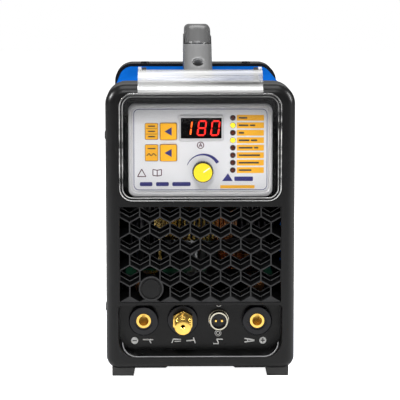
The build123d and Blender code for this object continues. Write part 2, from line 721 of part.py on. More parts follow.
def socket_flange(x):
    """The insulating collar of a weld-current socket."""
    front = BAY_BACK_Y - 9.0
    flange = rod_y(x, CONNECTOR_Z, SOCKET_FLANGE_R, front, BAY_BACK_Y)
    flange = fillet(flange.faces().sort_by(Axis.Y)[0].edges(), 1.4)
    flange += rod_y(x, CONNECTOR_Z, 8.1, BAY_BACK_Y, BAY_BACK_Y + BAY_PLATE + 3)
    flange -= rod_y(x, CONNECTOR_Z, 8.6, front - 1, front + 2.0)
    return flange - rod_y(x, CONNECTOR_Z, SOCKET_INSERT_R + 0.05, front - 1, BAY_BACK_Y + 20)


def socket_insert(x):
    """The brass bayonet insert with its keyway at the top."""
    front = BAY_BACK_Y - 8.0
    insert = rod_y(x, CONNECTOR_Z, SOCKET_INSERT_R, front, BAY_BACK_Y + 22)
    insert -= rod_y(x, CONNECTOR_Z, SOCKET_BORE_R, front - 1, front + SOCKET_BORE_DEPTH)
    key = block(x - 1.6, x + 1.6, front - 1, front + 12, CONNECTOR_Z, CONNECTOR_Z + 6.2)
    return insert - key


def hex_y(x, across_flats, y0, y1, hole):
    outline = Pos(x, CONNECTOR_Z) * RegularPolygon(across_flats / 2, 6, major_radius=False)
    return prism_y(outline, y0, y1) - rod_y(x, CONNECTOR_Z, hole, y0 - 1, y1 + 1)


def panel_nuts():
    """Clamping nuts behind the bay's back plate, and the rear gland's nut."""
    back = BAY_BACK_Y + BAY_PLATE
    nuts = [hex_y(x, 22.0, back + 3.2, back + 9.0, SOCKET_INSERT_R + 0.05)
            for x in (NEGATIVE_X, POSITIVE_X)]
    nuts.append(hex_y(TORCH_X, 19.0, back, back + 5.0, 6.05))
    nuts.append(hex_y(CONTROL_X, 20.0, back, back + 4.0, 7.25))
    hexagon = Pos(GLAND_X, REAR_PORT_Z) * RegularPolygon(13.0, 6, major_radius=False)
    gland_nut = prism_y(hexagon, REAR_FACE - 5, REAR_FACE)
    nuts.append(gland_nut - rod_y(GLAND_X, REAR_PORT_Z, 10.05, REAR_FACE - 6, REAR_FACE + 1))
    return joined(nuts)


def torch_flange():
    front = BAY_BACK_Y - 5.0
    flange = rod_y(TORCH_X, CONNECTOR_Z, 14.5, front, BAY_BACK_Y)
    flange = fillet(flange.faces().sort_by(Axis.Y)[0].edges(), 1.2)
    return flange - rod_y(TORCH_X, CONNECTOR_Z, 6.05, front - 1, BAY_BACK_Y + 1)


def torch_connector():
    """The brass gas and power stud that the torch nut screws on to."""
    hex_front = BAY_BACK_Y - 12.0
    stud = prism_y(Pos(TORCH_X, CONNECTOR_Z) * RegularPolygon(9.0, 6, major_radius=False),
                   hex_front, BAY_BACK_Y - 5.0)
    tip = rod_y(TORCH_X, CONNECTOR_Z, TORCH_TUBE_R, TORCH_TIP_Y, hex_front)
    stud += chamfer(tip.faces().sort_by(Axis.Y)[0].edges(), 0.9)
    stud += rod_y(TORCH_X, CONNECTOR_Z, 6.0, BAY_BACK_Y - 5.0, BAY_BACK_Y + 16)
    stud += rod_y(TORCH_X, CONNECTOR_Z, 3.0, BAY_BACK_Y + 16, BAY_BACK_Y + 24)
    return stud - rod_y(TORCH_X, CONNECTOR_Z, 1.55, TORCH_TIP_Y - 1, BAY_BACK_Y + 30)


def aviation_shell():
    shell = rod_y(CONTROL_X, CONNECTOR_Z, 9.6, BAY_BACK_Y - 2.0, BAY_BACK_Y)
    shell += rod_y(CONTROL_X, CONNECTOR_Z, AVIATION_R, BAY_BACK_Y - 11.0, BAY_BACK_Y - 2.0)
    shell = chamfer(shell.faces().sort_by(Axis.Y)[0].edges(), 0.6)
    shell += rod_y(CONTROL_X, CONNECTOR_Z, 7.2, BAY_BACK_Y, BAY_BACK_Y + 9.0)
    shell -= rod_y(CONTROL_X, CONNECTOR_Z, AVIATION_MOUTH_R, BAY_BACK_Y - 12, BAY_BACK_Y - 2.0)
    return shell - rod_y(CONTROL_X, CONNECTOR_Z, AVIATION_BORE_R, BAY_BACK_Y - 12,
                         BAY_BACK_Y + 10)


def aviation_pin_points():
    return (CONTROL_X - 2.9, CONTROL_X + 2.9)


def aviation_insulator():
    insulator = rod_y(CONTROL_X, CONNECTOR_Z, AVIATION_BORE_R - 0.05, BAY_BACK_Y - 5.0,
                      BAY_BACK_Y + 8.0)
    insulator += rod_y(CONTROL_X, CONNECTOR_Z, AVIATION_MOUTH_R - 0.05, BAY_BACK_Y - 5.0,
                       BAY_BACK_Y - 2.05)
    for x in aviation_pin_points():
        insulator -= rod_y(x, CONNECTOR_Z, 1.05, BAY_BACK_Y - 6, BAY_BACK_Y + 9)
    return insulator


def aviation_pins():
    return joined([rod_y(x, CONNECTOR_Z, 1.0, BAY_BACK_Y - 9.5, BAY_BACK_Y + 14)
                   for x in aviation_pin_points()])


# ---- handle ---------------------------------------------------------------------

def handle_screw_points():
    return (HANDLE_FRONT_Y + HANDLE_SCREW_INSET, HANDLE_REAR_Y - HANDLE_SCREW_INSET)


def mirrored_y(points):
    """Closes a symmetric handle outline from its front half."""
    middle = HANDLE_FRONT_Y + HANDLE_REAR_Y
    return points + [(middle - y, z) for y, z in reversed(points)]


def handle_arch():
    """Side view of the whole handle: raked legs that curve into a level grip."""
    seat = COVER_TOP
    outer = [(HANDLE_FRONT_Y, seat), (HANDLE_FRONT_Y, seat + 6),
             (HANDLE_FRONT_Y + HANDLE_RUN, HANDLE_TOP)]
    arch = Polygon(*mirrored_y(outer), align=None)
    arch = fillet(arch.vertices().sort_by(Axis.Y)[-2:], 30.0)
    inner_front = HANDLE_FRONT_Y + HANDLE_LEG
    gap_top = HANDLE_TOP - GRIP_DEPTH
    inner = [(inner_front, seat - 1), (inner_front + gap_top - seat, gap_top)]
    gap = Polygon(*mirrored_y(inner), align=None)
    gap = fillet(gap.vertices().sort_by(Axis.Y)[-2:], 10.0)
    return arch - gap


def grip_region():
    """The part of the side view that the separate grip cap fills."""
    low = HANDLE_SEAM_Z
    start = HANDLE_FRONT_Y + 4.0
    corner = start + 46.0
    points = [(start, HANDLE_TOP + 5), (start, low), (corner, low),
              (corner + 14.0, HANDLE_TOP - CAP_DEPTH)]
    return Polygon(*mirrored_y(points), align=None)


def long_edges(solid, half):
    """Edges along the handle's two sides, for rounding."""
    return [e for e in solid.edges() if abs(abs(e.center().X) - half) < 0.01
            and e.center().Z > COVER_TOP + 1]


def handle_body():
    body = prism_x(handle_arch(), -HANDLE_HALF, HANDLE_HALF)
    body = fillet(long_edges(body, HANDLE_HALF), 2.5)
    body -= prism_x(grip_region(), -HANDLE_HALF - 1, HANDLE_HALF + 1)
    for y in handle_screw_points():
        body -= rod_z(0, y, 6.0, COVER_TOP + 6.0, HANDLE_TOP)
        body -= rod_z(0, y, SCREW_R + FIT, COVER_TOP - 1, COVER_TOP + 7)
    return body


def handle_grip():
    """The separate rounded cap along the top of the handle."""
    cap = prism_x(handle_arch() & grip_region(), -GRIP_HALF, GRIP_HALF)
    seam_edges = prism_x(handle_arch() - grip_region(), -GRIP_HALF, GRIP_HALF)
    outer = [e for e in long_edges(cap, GRIP_HALF) if seam_edges.distance_to(e @ 0.5) > 0.1]
    return fillet(outer, GRIP_ROUND)


def handle_screws():
    screws = []
    for y in handle_screw_points():
        head = rod_z(0, y, 4.4, COVER_TOP + 6.0, COVER_TOP + 9.5)
        head -= rod_z(0, y, 2.0, COVER_TOP + 8.0, COVER_TOP + 10)
        screws.append(head + rod_z(0, y, SCREW_R, COVER_TOP - 6, COVER_TOP + 6.0))
    return joined(screws)


# ---- rear -----------------------------------------------------------------------

def fan_housing():
    half = FAN_SIZE / 2
    y0 = REAR_FACE - FAN_DEPTH
    housing = prism_y(panel(FAN_X - half, FAN_X + half, FAN_Z - half, FAN_Z + half, 5),
                      y0, REAR_FACE)
    housing -= rod_y(FAN_X, FAN_Z, FAN_BORE_R, y0 - 1, REAR_FACE + 1)
    housing += rod_y(FAN_X, FAN_Z, 18.0, y0, y0 + 4.0)
    for angle in (45, 135, 225, 315):
        strut = block(0, FAN_BORE_R + 1, y0, y0 + 4.0, -2.5, 2.5)
        housing += Pos(FAN_X, 0, FAN_Z) * Rot(0, angle, 0) * strut
    for x, z in fan_screw_points():
        housing -= rod_y(x, z, SCREW_R + FIT, REAR_FACE - 12, REAR_FACE + 1)
    return housing - rod_y(FAN_X, FAN_Z, 4.05, y0 - 1, y0 + 5)


def fan_rotor():
    y0 = REAR_FACE - FAN_DEPTH + 4.6
    hub = rod_y(FAN_X, FAN_Z, 20.0, y0, y0 + 26.0)
    hub = fillet(hub.faces().sort_by(Axis.Y)[-1].edges(), 2.0)
    hub += rod_y(FAN_X, FAN_Z, 4.0, y0 - 4.6, y0)
    for i in range(FAN_BLADES):
        blade = block(18.5, 54.5, -1.1, 1.1, -11.0, 11.0)
        tilted = Rot(0, i * 360 / FAN_BLADES, 0) * Rot(42, 0, 0) * blade
        hub += Pos(FAN_X, y0 + 13.0, FAN_Z) * tilted
    return hub


def fan_guard():
    """A wire guard of rings on four spokes, screwed over the fan opening."""
    y = REAR_Y + 2.2
    guard = None
    for radius in (14, 24, 34, 44, 54):
        path = Plane(origin=(FAN_X, y, FAN_Z), x_dir=(1, 0, 0), z_dir=(0, -1, 0))
        ring = path.location * Torus(radius, 1.0)
        guard = ring if guard is None else guard + ring
    for x, z in fan_screw_points():
        length = math.hypot(x - FAN_X, z - FAN_Z)
        angle = math.degrees(math.atan2(z - FAN_Z, x - FAN_X))
        spoke = block(12.0, length, y - 2.2, y - 0.2, -1.1, 1.1)
        guard += Pos(FAN_X, 0, FAN_Z) * Rot(0, -angle, 0) * spoke
        guard += rod_y(x, z, 4.4, y - 2.2, y - 0.8)
        guard -= rod_y(x, z, SCREW_R + FIT, y - 3, y + 1)
        guard -= rod_y(x, z, 4.2, y - 0.8, y + 1)
    return guard


def fan_screws():
    screws = []
    seat = REAR_Y + 1.4
    for x, z in fan_screw_points():
        head = rod_y(x, z, 4.0, seat, seat + 2.2)
        head -= block(x - 2.6, x + 2.6, seat + 1.2, seat + 3, z - 0.5, z + 0.5)
        head -= block(x - 0.5, x + 0.5, seat + 1.2, seat + 3, z - 2.6, z + 2.6)
        screws.append(head + rod_y(x, z, SCREW_R, REAR_FACE - 8, seat))
    return joined(screws)


def switch_rect(grow_w, grow_h, radius):
    return panel(SWITCH_X - SWITCH_W / 2 - grow_w, SWITCH_X + SWITCH_W / 2 + grow_w,
                 SWITCH_Z - SWITCH_H / 2 - grow_h, SWITCH_Z + SWITCH_H / 2 + grow_h, radius)


def power_switch_body():
    body = prism_y(switch_rect(0, 0, 1), REAR_FACE - 14, REAR_Y)
    body += prism_y(switch_rect(2.5, 2.5, 2), REAR_Y, REAR_Y + 2.5)
    return body - prism_y(switch_rect(-2.5, -2.2, 0.8), REAR_FACE - 10, REAR_Y + 4)


def power_rocker():
    """A rocker that pivots about X at its middle, resting with its lower half out."""
    half = SWITCH_H / 2 - 4.2
    y = REAR_Y
    points = [(y - 5, SWITCH_Z - half + 2), (y + 6.4, SWITCH_Z - half + 0.3),
              (y + 2.2, SWITCH_Z + 1.5), (y + 3.0, SWITCH_Z + half - 0.6),
              (y - 5, SWITCH_Z + half - 2)]
    rocker = prism_x(Polygon(*points, align=None), SWITCH_X - 12.0, SWITCH_X + 12.0)
    for side in (-1, 1):
        x0, x1 = sorted((SWITCH_X + side * 12.0, SWITCH_X + side * 12.4))
        rocker += rod_x(y - 2, SWITCH_Z, 1.5, x0, x1)
    return rocker


def cable_gland():
    """The strain-relief gland of the mains lead, empty here."""
    gland = rod_y(GLAND_X, REAR_PORT_Z, 10.0, REAR_FACE - 8, REAR_Y)
    hexagon = Pos(GLAND_X, REAR_PORT_Z) * RegularPolygon(12.0, 6, major_radius=False)
    gland += prism_y(hexagon, REAR_Y, REAR_Y + 6)
    dome = rod_y(GLAND_X, REAR_PORT_Z, 11.0, REAR_Y + 6, REAR_Y + 20)
    gland += fillet(dome.faces().sort_by(Axis.Y)[-1].edges(), 3.0)
    return gland - rod_y(GLAND_X, REAR_PORT_Z, 5.5, REAR_FACE - 9, REAR_Y + 21)


def gas_inlet():
    """A brass hose tail through the rear panel, with a plain neck and a serrated end."""
    tail = rod_y(INLET_X, REAR_PORT_Z, 6.5, REAR_FACE, REAR_Y)
    hexagon = Pos(INLET_X, REAR_PORT_Z) * RegularPolygon(8.5, 6, major_radius=False)
    tail += prism_y(hexagon, REAR_Y, REAR_Y + 5)
    tip = REAR_Y + PORT_LENGTH
    neck = REAR_Y + 9.6
    tail += rod_y(INLET_X, REAR_PORT_Z, TAIL_R, REAR_Y + 5, neck)
    pitch = (tip - neck) / 4
    for i in range(4):
        y = neck + (i + 0.5) * pitch
        barb = Plane(origin=(INLET_X, y, REAR_PORT_Z), x_dir=(1, 0, 0), z_dir=(0, 1, 0))
        tail += barb.location * Cone(TAIL_R, TAIL_R - 0.6, pitch)
    tail += rod_y(INLET_X, REAR_PORT_Z, 4.0, REAR_FACE - 6, REAR_FACE)
    return tail - rod_y(INLET_X, REAR_PORT_Z, 2.0, REAR_FACE - 7, tip + 1)


VALVE_Y0 = REAR_FACE - 46.0
VALVE_Y1 = REAR_FACE - 6.0
VALVE_HALF = 11.0
PLUNGER_R = 4.0
VALVE_COIL_TOP = REAR_PORT_Z + 42.0


def gas_valve_body():
    """The solenoid gas valve: a square brass block with a coil can above it."""
    middle = (VALVE_Y0 + VALVE_Y1) / 2
    body = block(INLET_X - VALVE_HALF, INLET_X + VALVE_HALF, VALVE_Y0, VALVE_Y1,
                 REAR_PORT_Z - 10, REAR_PORT_Z + 12)
    body += rod_z(INLET_X, middle, 13.0, REAR_PORT_Z + 12, VALVE_COIL_TOP)
    body -= rod_z(INLET_X, middle, PLUNGER_R + 0.4, REAR_PORT_Z + 2, VALVE_COIL_TOP - 3)
    body -= rod_y(INLET_X, REAR_PORT_Z - 4, 2.0, VALVE_Y0 - 1, VALVE_Y0 + 16)
    return body - rod_y(INLET_X, REAR_PORT_Z, 2.0, VALVE_Y1 - 12, VALVE_Y1 + 1)


def valve_plunger():
    middle = (VALVE_Y0 + VALVE_Y1) / 2
    return rod_z(INLET_X, middle, PLUNGER_R, REAR_PORT_Z + 2.4, VALVE_COIL_TOP - 12)


def gas_hose():
    """The gas hose from the valve, along the floor, to the torch connector."""
    z = REAR_PORT_Z - 4
    front = BAY_BACK_Y + 24.0
    points = [(INLET_X, VALVE_Y0, z), (INLET_X, VALVE_Y0 - 30, z), (57, 70, 24),
              (57, -60, 24), (20, -110, 30), (TORCH_X, front + 30, CONNECTOR_Z),
              (TORCH_X, front, CONNECTOR_Z)]
    path = FilletPolyline(*points, radius=11.0)
    start = Plane(origin=points[0], z_dir=(0, -1, 0))
    return sweep(start * (Circle(3.2) - Circle(1.9)), path=path)


# ---- power electronics ----------------------------------------------------------

POWER_BOARD_Z = 78.0
POWER_BOARD_HALF = 74.0
POWER_BOARD_Y0 = -105.0
POWER_BOARD_Y1 = 125.0
SINK_Z0 = POWER_BOARD_Z + 4.0
STRAP_TOP = POWER_BOARD_Z + 6.0
TRANSFORMER_Y0 = -98.0
TRANSFORMER_Y1 = -66.0
TRANSFORMER_TOP = POWER_BOARD_Z + 34.0
CHOKE_X = -3.0
CHOKE_Y = -98.0
CHOKE_Z0 = 118.0
CHOKE_Z1 = 150.0
CHOKE_R = 41.0
CHOKE_BORE_R = 15.0
POST_R = 5.0
LEAD_X = CHOKE_X - 35.0
LEAD_Y = CHOKE_Y - 17.0


def board_supports():
    """Pillars under the power board, and the post that clamps the toroid by two discs."""
    supports = [rod_z(x, y, 4.0, BASE_TOP, POWER_BOARD_Z) for x in (-68.0, 68.0)
                for y in (POWER_BOARD_Y0 + 8, 10.0, POWER_BOARD_Y1 - 8)]
    base = POWER_BOARD_Z + 2.0
    post = rod_z(CHOKE_X, CHOKE_Y, POST_R, base, CHOKE_Z1 + 5.0)
    post += rod_z(CHOKE_X, CHOKE_Y, 9.0, base, base + 3.0)
    post += rod_z(CHOKE_X, CHOKE_Y, 24.0, CHOKE_Z0 - 2.0, CHOKE_Z0)
    post += rod_z(CHOKE_X, CHOKE_Y, 19.0, CHOKE_Z1, CHOKE_Z1 + 1.5)
    return joined(supports + [post])


def power_board():
    return block(-POWER_BOARD_HALF, POWER_BOARD_HALF, POWER_BOARD_Y0, POWER_BOARD_Y1,
                 POWER_BOARD_Z, POWER_BOARD_Z + 2.0)


def heatsink(side):
    """A finned aluminium extrusion with its fins along the air stream."""
    x = side * 44.0
    sink = block(x - 24, x + 24, -60, 85, SINK_Z0, SINK_Z0 + 6)
    for i in range(9):
        fin = x - 24 + i * 5.75
        sink += block(fin, fin + 2, -60, 85, SINK_Z0 + 5, SINK_Z0 + 46)
    sink += block(x - 22, x - 18, -60, 85, POWER_BOARD_Z + 2, SINK_Z0)
    return sink + block(x + 18, x + 22, -60, 85, POWER_BOARD_Z + 2, SINK_Z0)


def power_transistors():
    packs = []
    for side in (-1, 1):
        for i in range(4):
            y = -44 + i * 34
            x = side * 17.4
            packs.append(block(x - 2.4, x + 2.4, y, y + 16, SINK_Z0 + 2, SINK_Z0 + 24))
    return joined(packs)


def capacitors():
    cans = []
    for x in (-48.0, -12.0, 24.0):
        can = rod_z(x, 105.0, 16.5, POWER_BOARD_Z + 2, POWER_BOARD_Z + 50)
        cans.append(fillet(can.faces().sort_by(Axis.Z)[-1].edges(), 2.0))
    return joined(cans)


def transformer_core():
    """The low ferrite E-core pair of the main transformer."""
    core = block(8, 64, TRANSFORMER_Y0, TRANSFORMER_Y1, SINK_Z0 - 2, TRANSFORMER_TOP)
    for x in (17.0, 42.0):
        core -= block(x, x + 13, TRANSFORMER_Y0 - 1, TRANSFORMER_Y1 + 1,
                      SINK_Z0 + 4, TRANSFORMER_TOP - 6)
    return core


def transformer_winding():
    low, high = SINK_Z0 + 4.5, TRANSFORMER_TOP - 6.5
    winding = block(18, 54, TRANSFORMER_Y0 - 6, TRANSFORMER_Y1 + 5, low, high)
    winding = fillet(winding.edges().filter_by(Axis.Z), 5)
    return winding - block(29.8, 42.2, TRANSFORMER_Y0 - 0.2, TRANSFORMER_Y1 + 0.2,
                           low - 1, high + 1)


def output_choke_core():
    """The ring core of the output choke, lying flat on its post."""
    ring = rod_z(CHOKE_X, CHOKE_Y, CHOKE_R - 4.0, CHOKE_Z0 + 4.5, CHOKE_Z1 - 4.5)
    return ring - rod_z(CHOKE_X, CHOKE_Y, CHOKE_BORE_R + 4.0, CHOKE_Z0, CHOKE_Z1)


def output_choke_winding():
    """The wound ring with its lead down to the negative strap."""
    coil = rod_z(CHOKE_X, CHOKE_Y, CHOKE_R, CHOKE_Z0, CHOKE_Z1)
    coil = fillet(coil.edges(), 4.0)
    hollow = rod_z(CHOKE_X, CHOKE_Y, CHOKE_BORE_R, CHOKE_Z0 - 1, CHOKE_Z1 + 1)
    lead = block(LEAD_X - 3, LEAD_X + 3, LEAD_Y - 3, LEAD_Y + 3, STRAP_TOP, CHOKE_Z0 + 6.0)
    lead += block(NEGATIVE_X + 3, LEAD_X, LEAD_Y - 3, LEAD_Y + 3, STRAP_TOP, STRAP_TOP + 3)
    return coil + lead - hollow - output_choke_core()


def busbars():
    """Copper straps from the power stage to the two weld sockets."""
    y0 = BAY_BACK_Y + 22.0
    y1 = y0 + 3.0
    z = CONNECTOR_Z
    negative = block(NEGATIVE_X - 8, NEGATIVE_X + 8, y0, y1, z - 10, STRAP_TOP)
    negative += block(NEGATIVE_X - 8, NEGATIVE_X + 8, y0, POWER_BOARD_Y0 + 12,
                      POWER_BOARD_Z + 3, STRAP_TOP)
    positive = block(POSITIVE_X - 8, POSITIVE_X + 8, y0, y1, z - 10, STRAP_TOP)
    positive += block(POSITIVE_X - 8, POSITIVE_X + 8, y0, POWER_BOARD_Y0 + 5,
                      POWER_BOARD_Z + 3, STRAP_TOP)
    return joined([negative, positive])


NODES = {
    "front_panel": front_panel,
    "rear_panel": rear_panel,
    "top_cover": top_cover,
    "base_plate": base_plate,
    "case_screws": case_screws,
    "feet": feet,
    "control_bezel": control_bezel,
    "control_overlay": control_overlay,
    "display_frame": display_frame,
    "display_window": display_window,
    "display_module": display_module,
    "key_switches": key_switches,
    "indicator_leds": indicator_leds,
    "knob_skirt": knob_skirt,
    "knob_cap": knob_cap,
    "potentiometer_shaft": potentiometer_shaft,
    "potentiometer_body": potentiometer_body,
    "pcb_standoffs": pcb_standoffs,
    "control_board": control_board,
    "clear_door": clear_door,
    "door_hinge_pins": lambda: both_sides(door_hinge_pin),
    "front_grille": front_grille,
    "blanking_plug": blanking_plug,
    "connector_plate": connector_plate,
    "negative_socket_flange": lambda: socket_flange(NEGATIVE_X),
    "negative_socket_insert": lambda: socket_insert(NEGATIVE_X),
    "positive_socket_flange": lambda: socket_flange(POSITIVE_X),
    "positive_socket_insert": lambda: socket_insert(POSITIVE_X),
    "panel_nuts": panel_nuts,
    "torch_flange": torch_flange,
    "torch_connector": torch_connector,
    "aviation_shell": aviation_shell,
    "aviation_insulator": aviation_insulator,
    "aviation_pins": aviation_pins,
    "handle_body": handle_body,
    "handle_grip": handle_grip,
    "handle_screws": handle_screws,
    "fan_housing": fan_housing,
    "fan_rotor": fan_rotor,
    "fan_guard": fan_guard,
    "fan_screws": fan_screws,
    "power_switch_body": power_switch_body,
    "power_rocker": power_rocker,
    "cable_gland": cable_gland,
    "gas_inlet": gas_inlet,
    "gas_valve_body": gas_valve_body,
    "valve_plunger": valve_plunger,
    "gas_hose": gas_hose,
    "board_supports": board_supports,
    "power_board": power_board,
    "heatsinks": lambda: both_sides(heatsink),
    "power_transistors": power_transistors,
    "capacitors": capacitors,
    "transformer_core": transformer_core,
    "transformer_winding": transformer_winding,
    "output_choke_core": output_choke_core,
    "output_choke_winding": output_choke_winding,
    "busbars": busbars,
}

for name, make in NODES.items():
    export_step(make(), f"parts/{name}.step")
for name, z in KEY_ROWS:
    export_step(push_button(z), f"parts/{name}.step")
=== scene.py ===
import math

import bmesh
import bpy
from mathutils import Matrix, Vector


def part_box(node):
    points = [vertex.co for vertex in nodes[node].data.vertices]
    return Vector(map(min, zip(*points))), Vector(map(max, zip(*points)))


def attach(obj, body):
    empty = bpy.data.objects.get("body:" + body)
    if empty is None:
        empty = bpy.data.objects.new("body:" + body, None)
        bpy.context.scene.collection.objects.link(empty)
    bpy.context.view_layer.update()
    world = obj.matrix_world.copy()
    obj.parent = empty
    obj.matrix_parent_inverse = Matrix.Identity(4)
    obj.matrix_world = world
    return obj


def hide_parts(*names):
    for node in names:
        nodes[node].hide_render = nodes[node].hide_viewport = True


# Looks of a compact inverter welding machine. Lengths in this script are in
# millimetres unless a name ends in _m or _M; MM turns them into Blender's metres.
MM = 0.001
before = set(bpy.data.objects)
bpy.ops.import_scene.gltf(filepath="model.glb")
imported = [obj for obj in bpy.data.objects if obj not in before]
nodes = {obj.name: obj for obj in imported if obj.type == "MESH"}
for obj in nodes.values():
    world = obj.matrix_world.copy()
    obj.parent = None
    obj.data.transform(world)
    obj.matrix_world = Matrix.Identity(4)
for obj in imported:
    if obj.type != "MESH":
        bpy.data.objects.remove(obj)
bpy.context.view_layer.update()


# ---- places, read from the frame --------------------------------------------------

def low_high(node):
    """A node's lowest and highest corners in millimetres."""
    low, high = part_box(node)
    return low / MM, high / MM


def centre(node):
    low, high = low_high(node)
    return (low + high) / 2


OVERLAY_LOW, OVERLAY_HIGH = low_high("control_overlay")
PRINT_Y = OVERLAY_LOW.y
DISPLAY = centre("display_frame")
WINDOW_FRONT = low_high("display_window")[0].y
KNOB = centre("knob_cap")
CAP_FRONT = low_high("knob_cap")[0].y
SKIRT_LOW, SKIRT_HIGH = low_high("knob_skirt")
LED_LOW, LED_HIGH = low_high("indicator_leds")
GRILLE_LOW, GRILLE_HIGH = low_high("front_grille")
BAY_LOW = low_high("connector_plate")[0]
NEGATIVE = centre("negative_socket_insert")
TORCH = centre("torch_flange")
CONTROL = centre("aviation_shell")
POSITIVE = centre("positive_socket_insert")
DOOR_LOW, DOOR_HIGH = low_high("clear_door")
HOOD_FOOT = 268.0
FRONT_Y = low_high("front_panel")[0].y

INK = 0.08
SINK = 0.01
LED_COUNT = 8
LIT_LEDS = (1, 3)
TILE_X = OVERLAY_LOW.x + 18.0
COVER_MIDDLE_Z = 150.0
EDGE_HIGHLIGHT_DEPTH = 1.6
HANDLE_CROWN = 45.0
HANDLE_PAINTED_SHADE_REACH = 8.0
HOOD_PAINTED_REFLECTION = 0.6
CELL_PITCH = 18.9
CELL_SIDE = 9.8
CELL_SLANT = 5.36
CELL_RISE = 6.6
CHOKE_BORE = 19.0
CHOKE_WRAP = 2.2
CAMERA_M = (-0.0283, -2.0416, 0.3962)
AIM_M = (-0.0004, FRONT_Y * MM, 0.168)
CAMERA_LENS = 178.8


# ---- materials --------------------------------------------------------------------

def shader_material(name, colour, roughness, metallic=0.0, **sockets):
    """A principled material; other sockets are given by name with _ for a space."""
    made = bpy.data.materials.new(name)
    made.use_nodes = True
    shader = made.node_tree.nodes["Principled BSDF"]
    shader.inputs["Base Color"].default_value = (*colour, 1.0)
    shader.inputs["Roughness"].default_value = roughness
    shader.inputs["Metallic"].default_value = metallic
    for socket, value in sockets.items():
        shader.inputs[socket.replace("_", " ")].default_value = value
    return made


def noise(material, scale, detail=4.0, stretch=(1, 1, 1)):
    """Noise in the object's own space, so that it moves with the piece."""
    tree = material.node_tree
    place = tree.nodes.new("ShaderNodeTexCoord")
    scaling = tree.nodes.new("ShaderNodeMapping")
    scaling.inputs["Scale"].default_value = stretch
    texture = tree.nodes.new("ShaderNodeTexNoise")
    texture.inputs["Scale"].default_value = scale
    texture.inputs["Detail"].default_value = detail
    tree.links.new(place.outputs["Object"], scaling.inputs["Vector"])
    tree.links.new(scaling.outputs["Vector"], texture.inputs["Vector"])
    return texture


def math_node(tree, operation, first, second):
    """The result of a Math node on two inputs, each of them a socket or a number."""
    made = tree.nodes.new("ShaderNodeMath")
    made.operation = operation
    for socket, value in zip(made.inputs, (first, second)):
        if isinstance(value, float):
            socket.default_value = value
        else:
            tree.links.new(value, socket)
    return made.outputs["Value"]


def xyz_of(tree, vector):
    """A vector's X, Y and Z sockets."""
    split = tree.nodes.new("ShaderNodeSeparateXYZ")
    tree.links.new(vector, split.inputs["Vector"])
    return split.outputs


def repaint(material, factor, first=None, second=None):
    """Mixes the base colour with another by a factor; the end left out keeps the old one."""
    tree = material.node_tree
    base = tree.nodes["Principled BSDF"].inputs["Base Color"]
    old = base.links[0].from_socket
    mix = tree.nodes.new("ShaderNodeMix")
    mix.data_type = "RGBA"
    tree.links.new(factor, mix.inputs["Factor"])
    for name, colour in (("A", first), ("B", second)):
        if colour:
            mix.inputs[name].default_value = (*colour, 1)
        else:
            tree.links.new(old, mix.inputs[name])
    tree.links.new(mix.outputs["Result"], base)


def spread(material, source, socket, low, high):
    """Maps a noise onto one number of the shader, between low and high."""
    tree = material.node_tree
    ramp = tree.nodes.new("ShaderNodeMapRange")
    ramp.inputs["From Min"].default_value = 0.3
    ramp.inputs["From Max"].default_value = 0.7
    ramp.inputs["To Min"].default_value = low
    ramp.inputs["To Max"].default_value = high
    tree.links.new(source.outputs["Fac"], ramp.inputs["Value"])
    shader = tree.nodes["Principled BSDF"]
    tree.links.new(ramp.outputs["Result"], shader.inputs[socket])


def mottle(material, source, dark, light):
    """Varies the base colour between two near shades."""
    tree = material.node_tree
    ramp = tree.nodes.new("ShaderNodeValToRGB")
    ramp.color_ramp.elements[0].position = 0.3
    ramp.color_ramp.elements[0].color = (*dark, 1)
    ramp.color_ramp.elements[1].position = 0.7
    ramp.color_ramp.elements[1].color = (*light, 1)
    tree.links.new(source.outputs["Fac"], ramp.inputs["Fac"])
    tree.links.new(ramp.outputs["Color"], tree.nodes["Principled BSDF"].inputs["Base Color"])


def relief(material, source, depth, strength=1.0, edge=0.0):
    """Bumps the surface by depth millimetres, over edges softened by edge millimetres."""
    tree = material.node_tree
    bump = tree.nodes.new("ShaderNodeBump")
    bump.inputs["Distance"].default_value = depth * MM
    bump.inputs["Strength"].default_value = strength
    tree.links.new(source.outputs["Fac"], bump.inputs["Height"])
    if edge:
        soft = tree.nodes.new("ShaderNodeBevel")
        soft.samples = 4
        soft.inputs["Radius"].default_value = edge * MM
        tree.links.new(soft.outputs["Normal"], bump.inputs["Normal"])
    tree.links.new(bump.outputs["Normal"], tree.nodes["Principled BSDF"].inputs["Normal"])


def plastic(name, colour, roughness, grain=900, depth=0.03, edge=0.3, vary=0.12, **sockets):
    """Moulded plastic: spark-eroded grain, uneven gloss and a faint change of shade."""
    made = shader_material(name, colour, roughness, **sockets)
    fine = noise(made, grain)
    broad = noise(made, 14, detail=3)
    relief(made, fine, depth, edge=edge)
    spread(made, broad, "Roughness", roughness - 0.05, roughness + 0.05)
    shade = [[c * (1 - vary) for c in colour], [min(1.0, c * (1 + vary)) for c in colour]]
    mottle(made, broad, *shade)
    return made


def metal(name, colour, roughness, stretch=(1, 1, 1), grain=300, depth=0.002, edge=0.15):
    """Machined metal with fine tool marks along one way."""
    made = shader_material(name, colour, roughness, metallic=1.0)
    marks = noise(made, grain, stretch=stretch)
    relief(made, marks, depth, strength=0.6, edge=edge)
    spread(made, marks, "Roughness", roughness * 0.8, roughness * 1.3)
    darker = [c * 0.85 for c in colour]
    mottle(made, noise(made, 60), darker, colour)
    return made


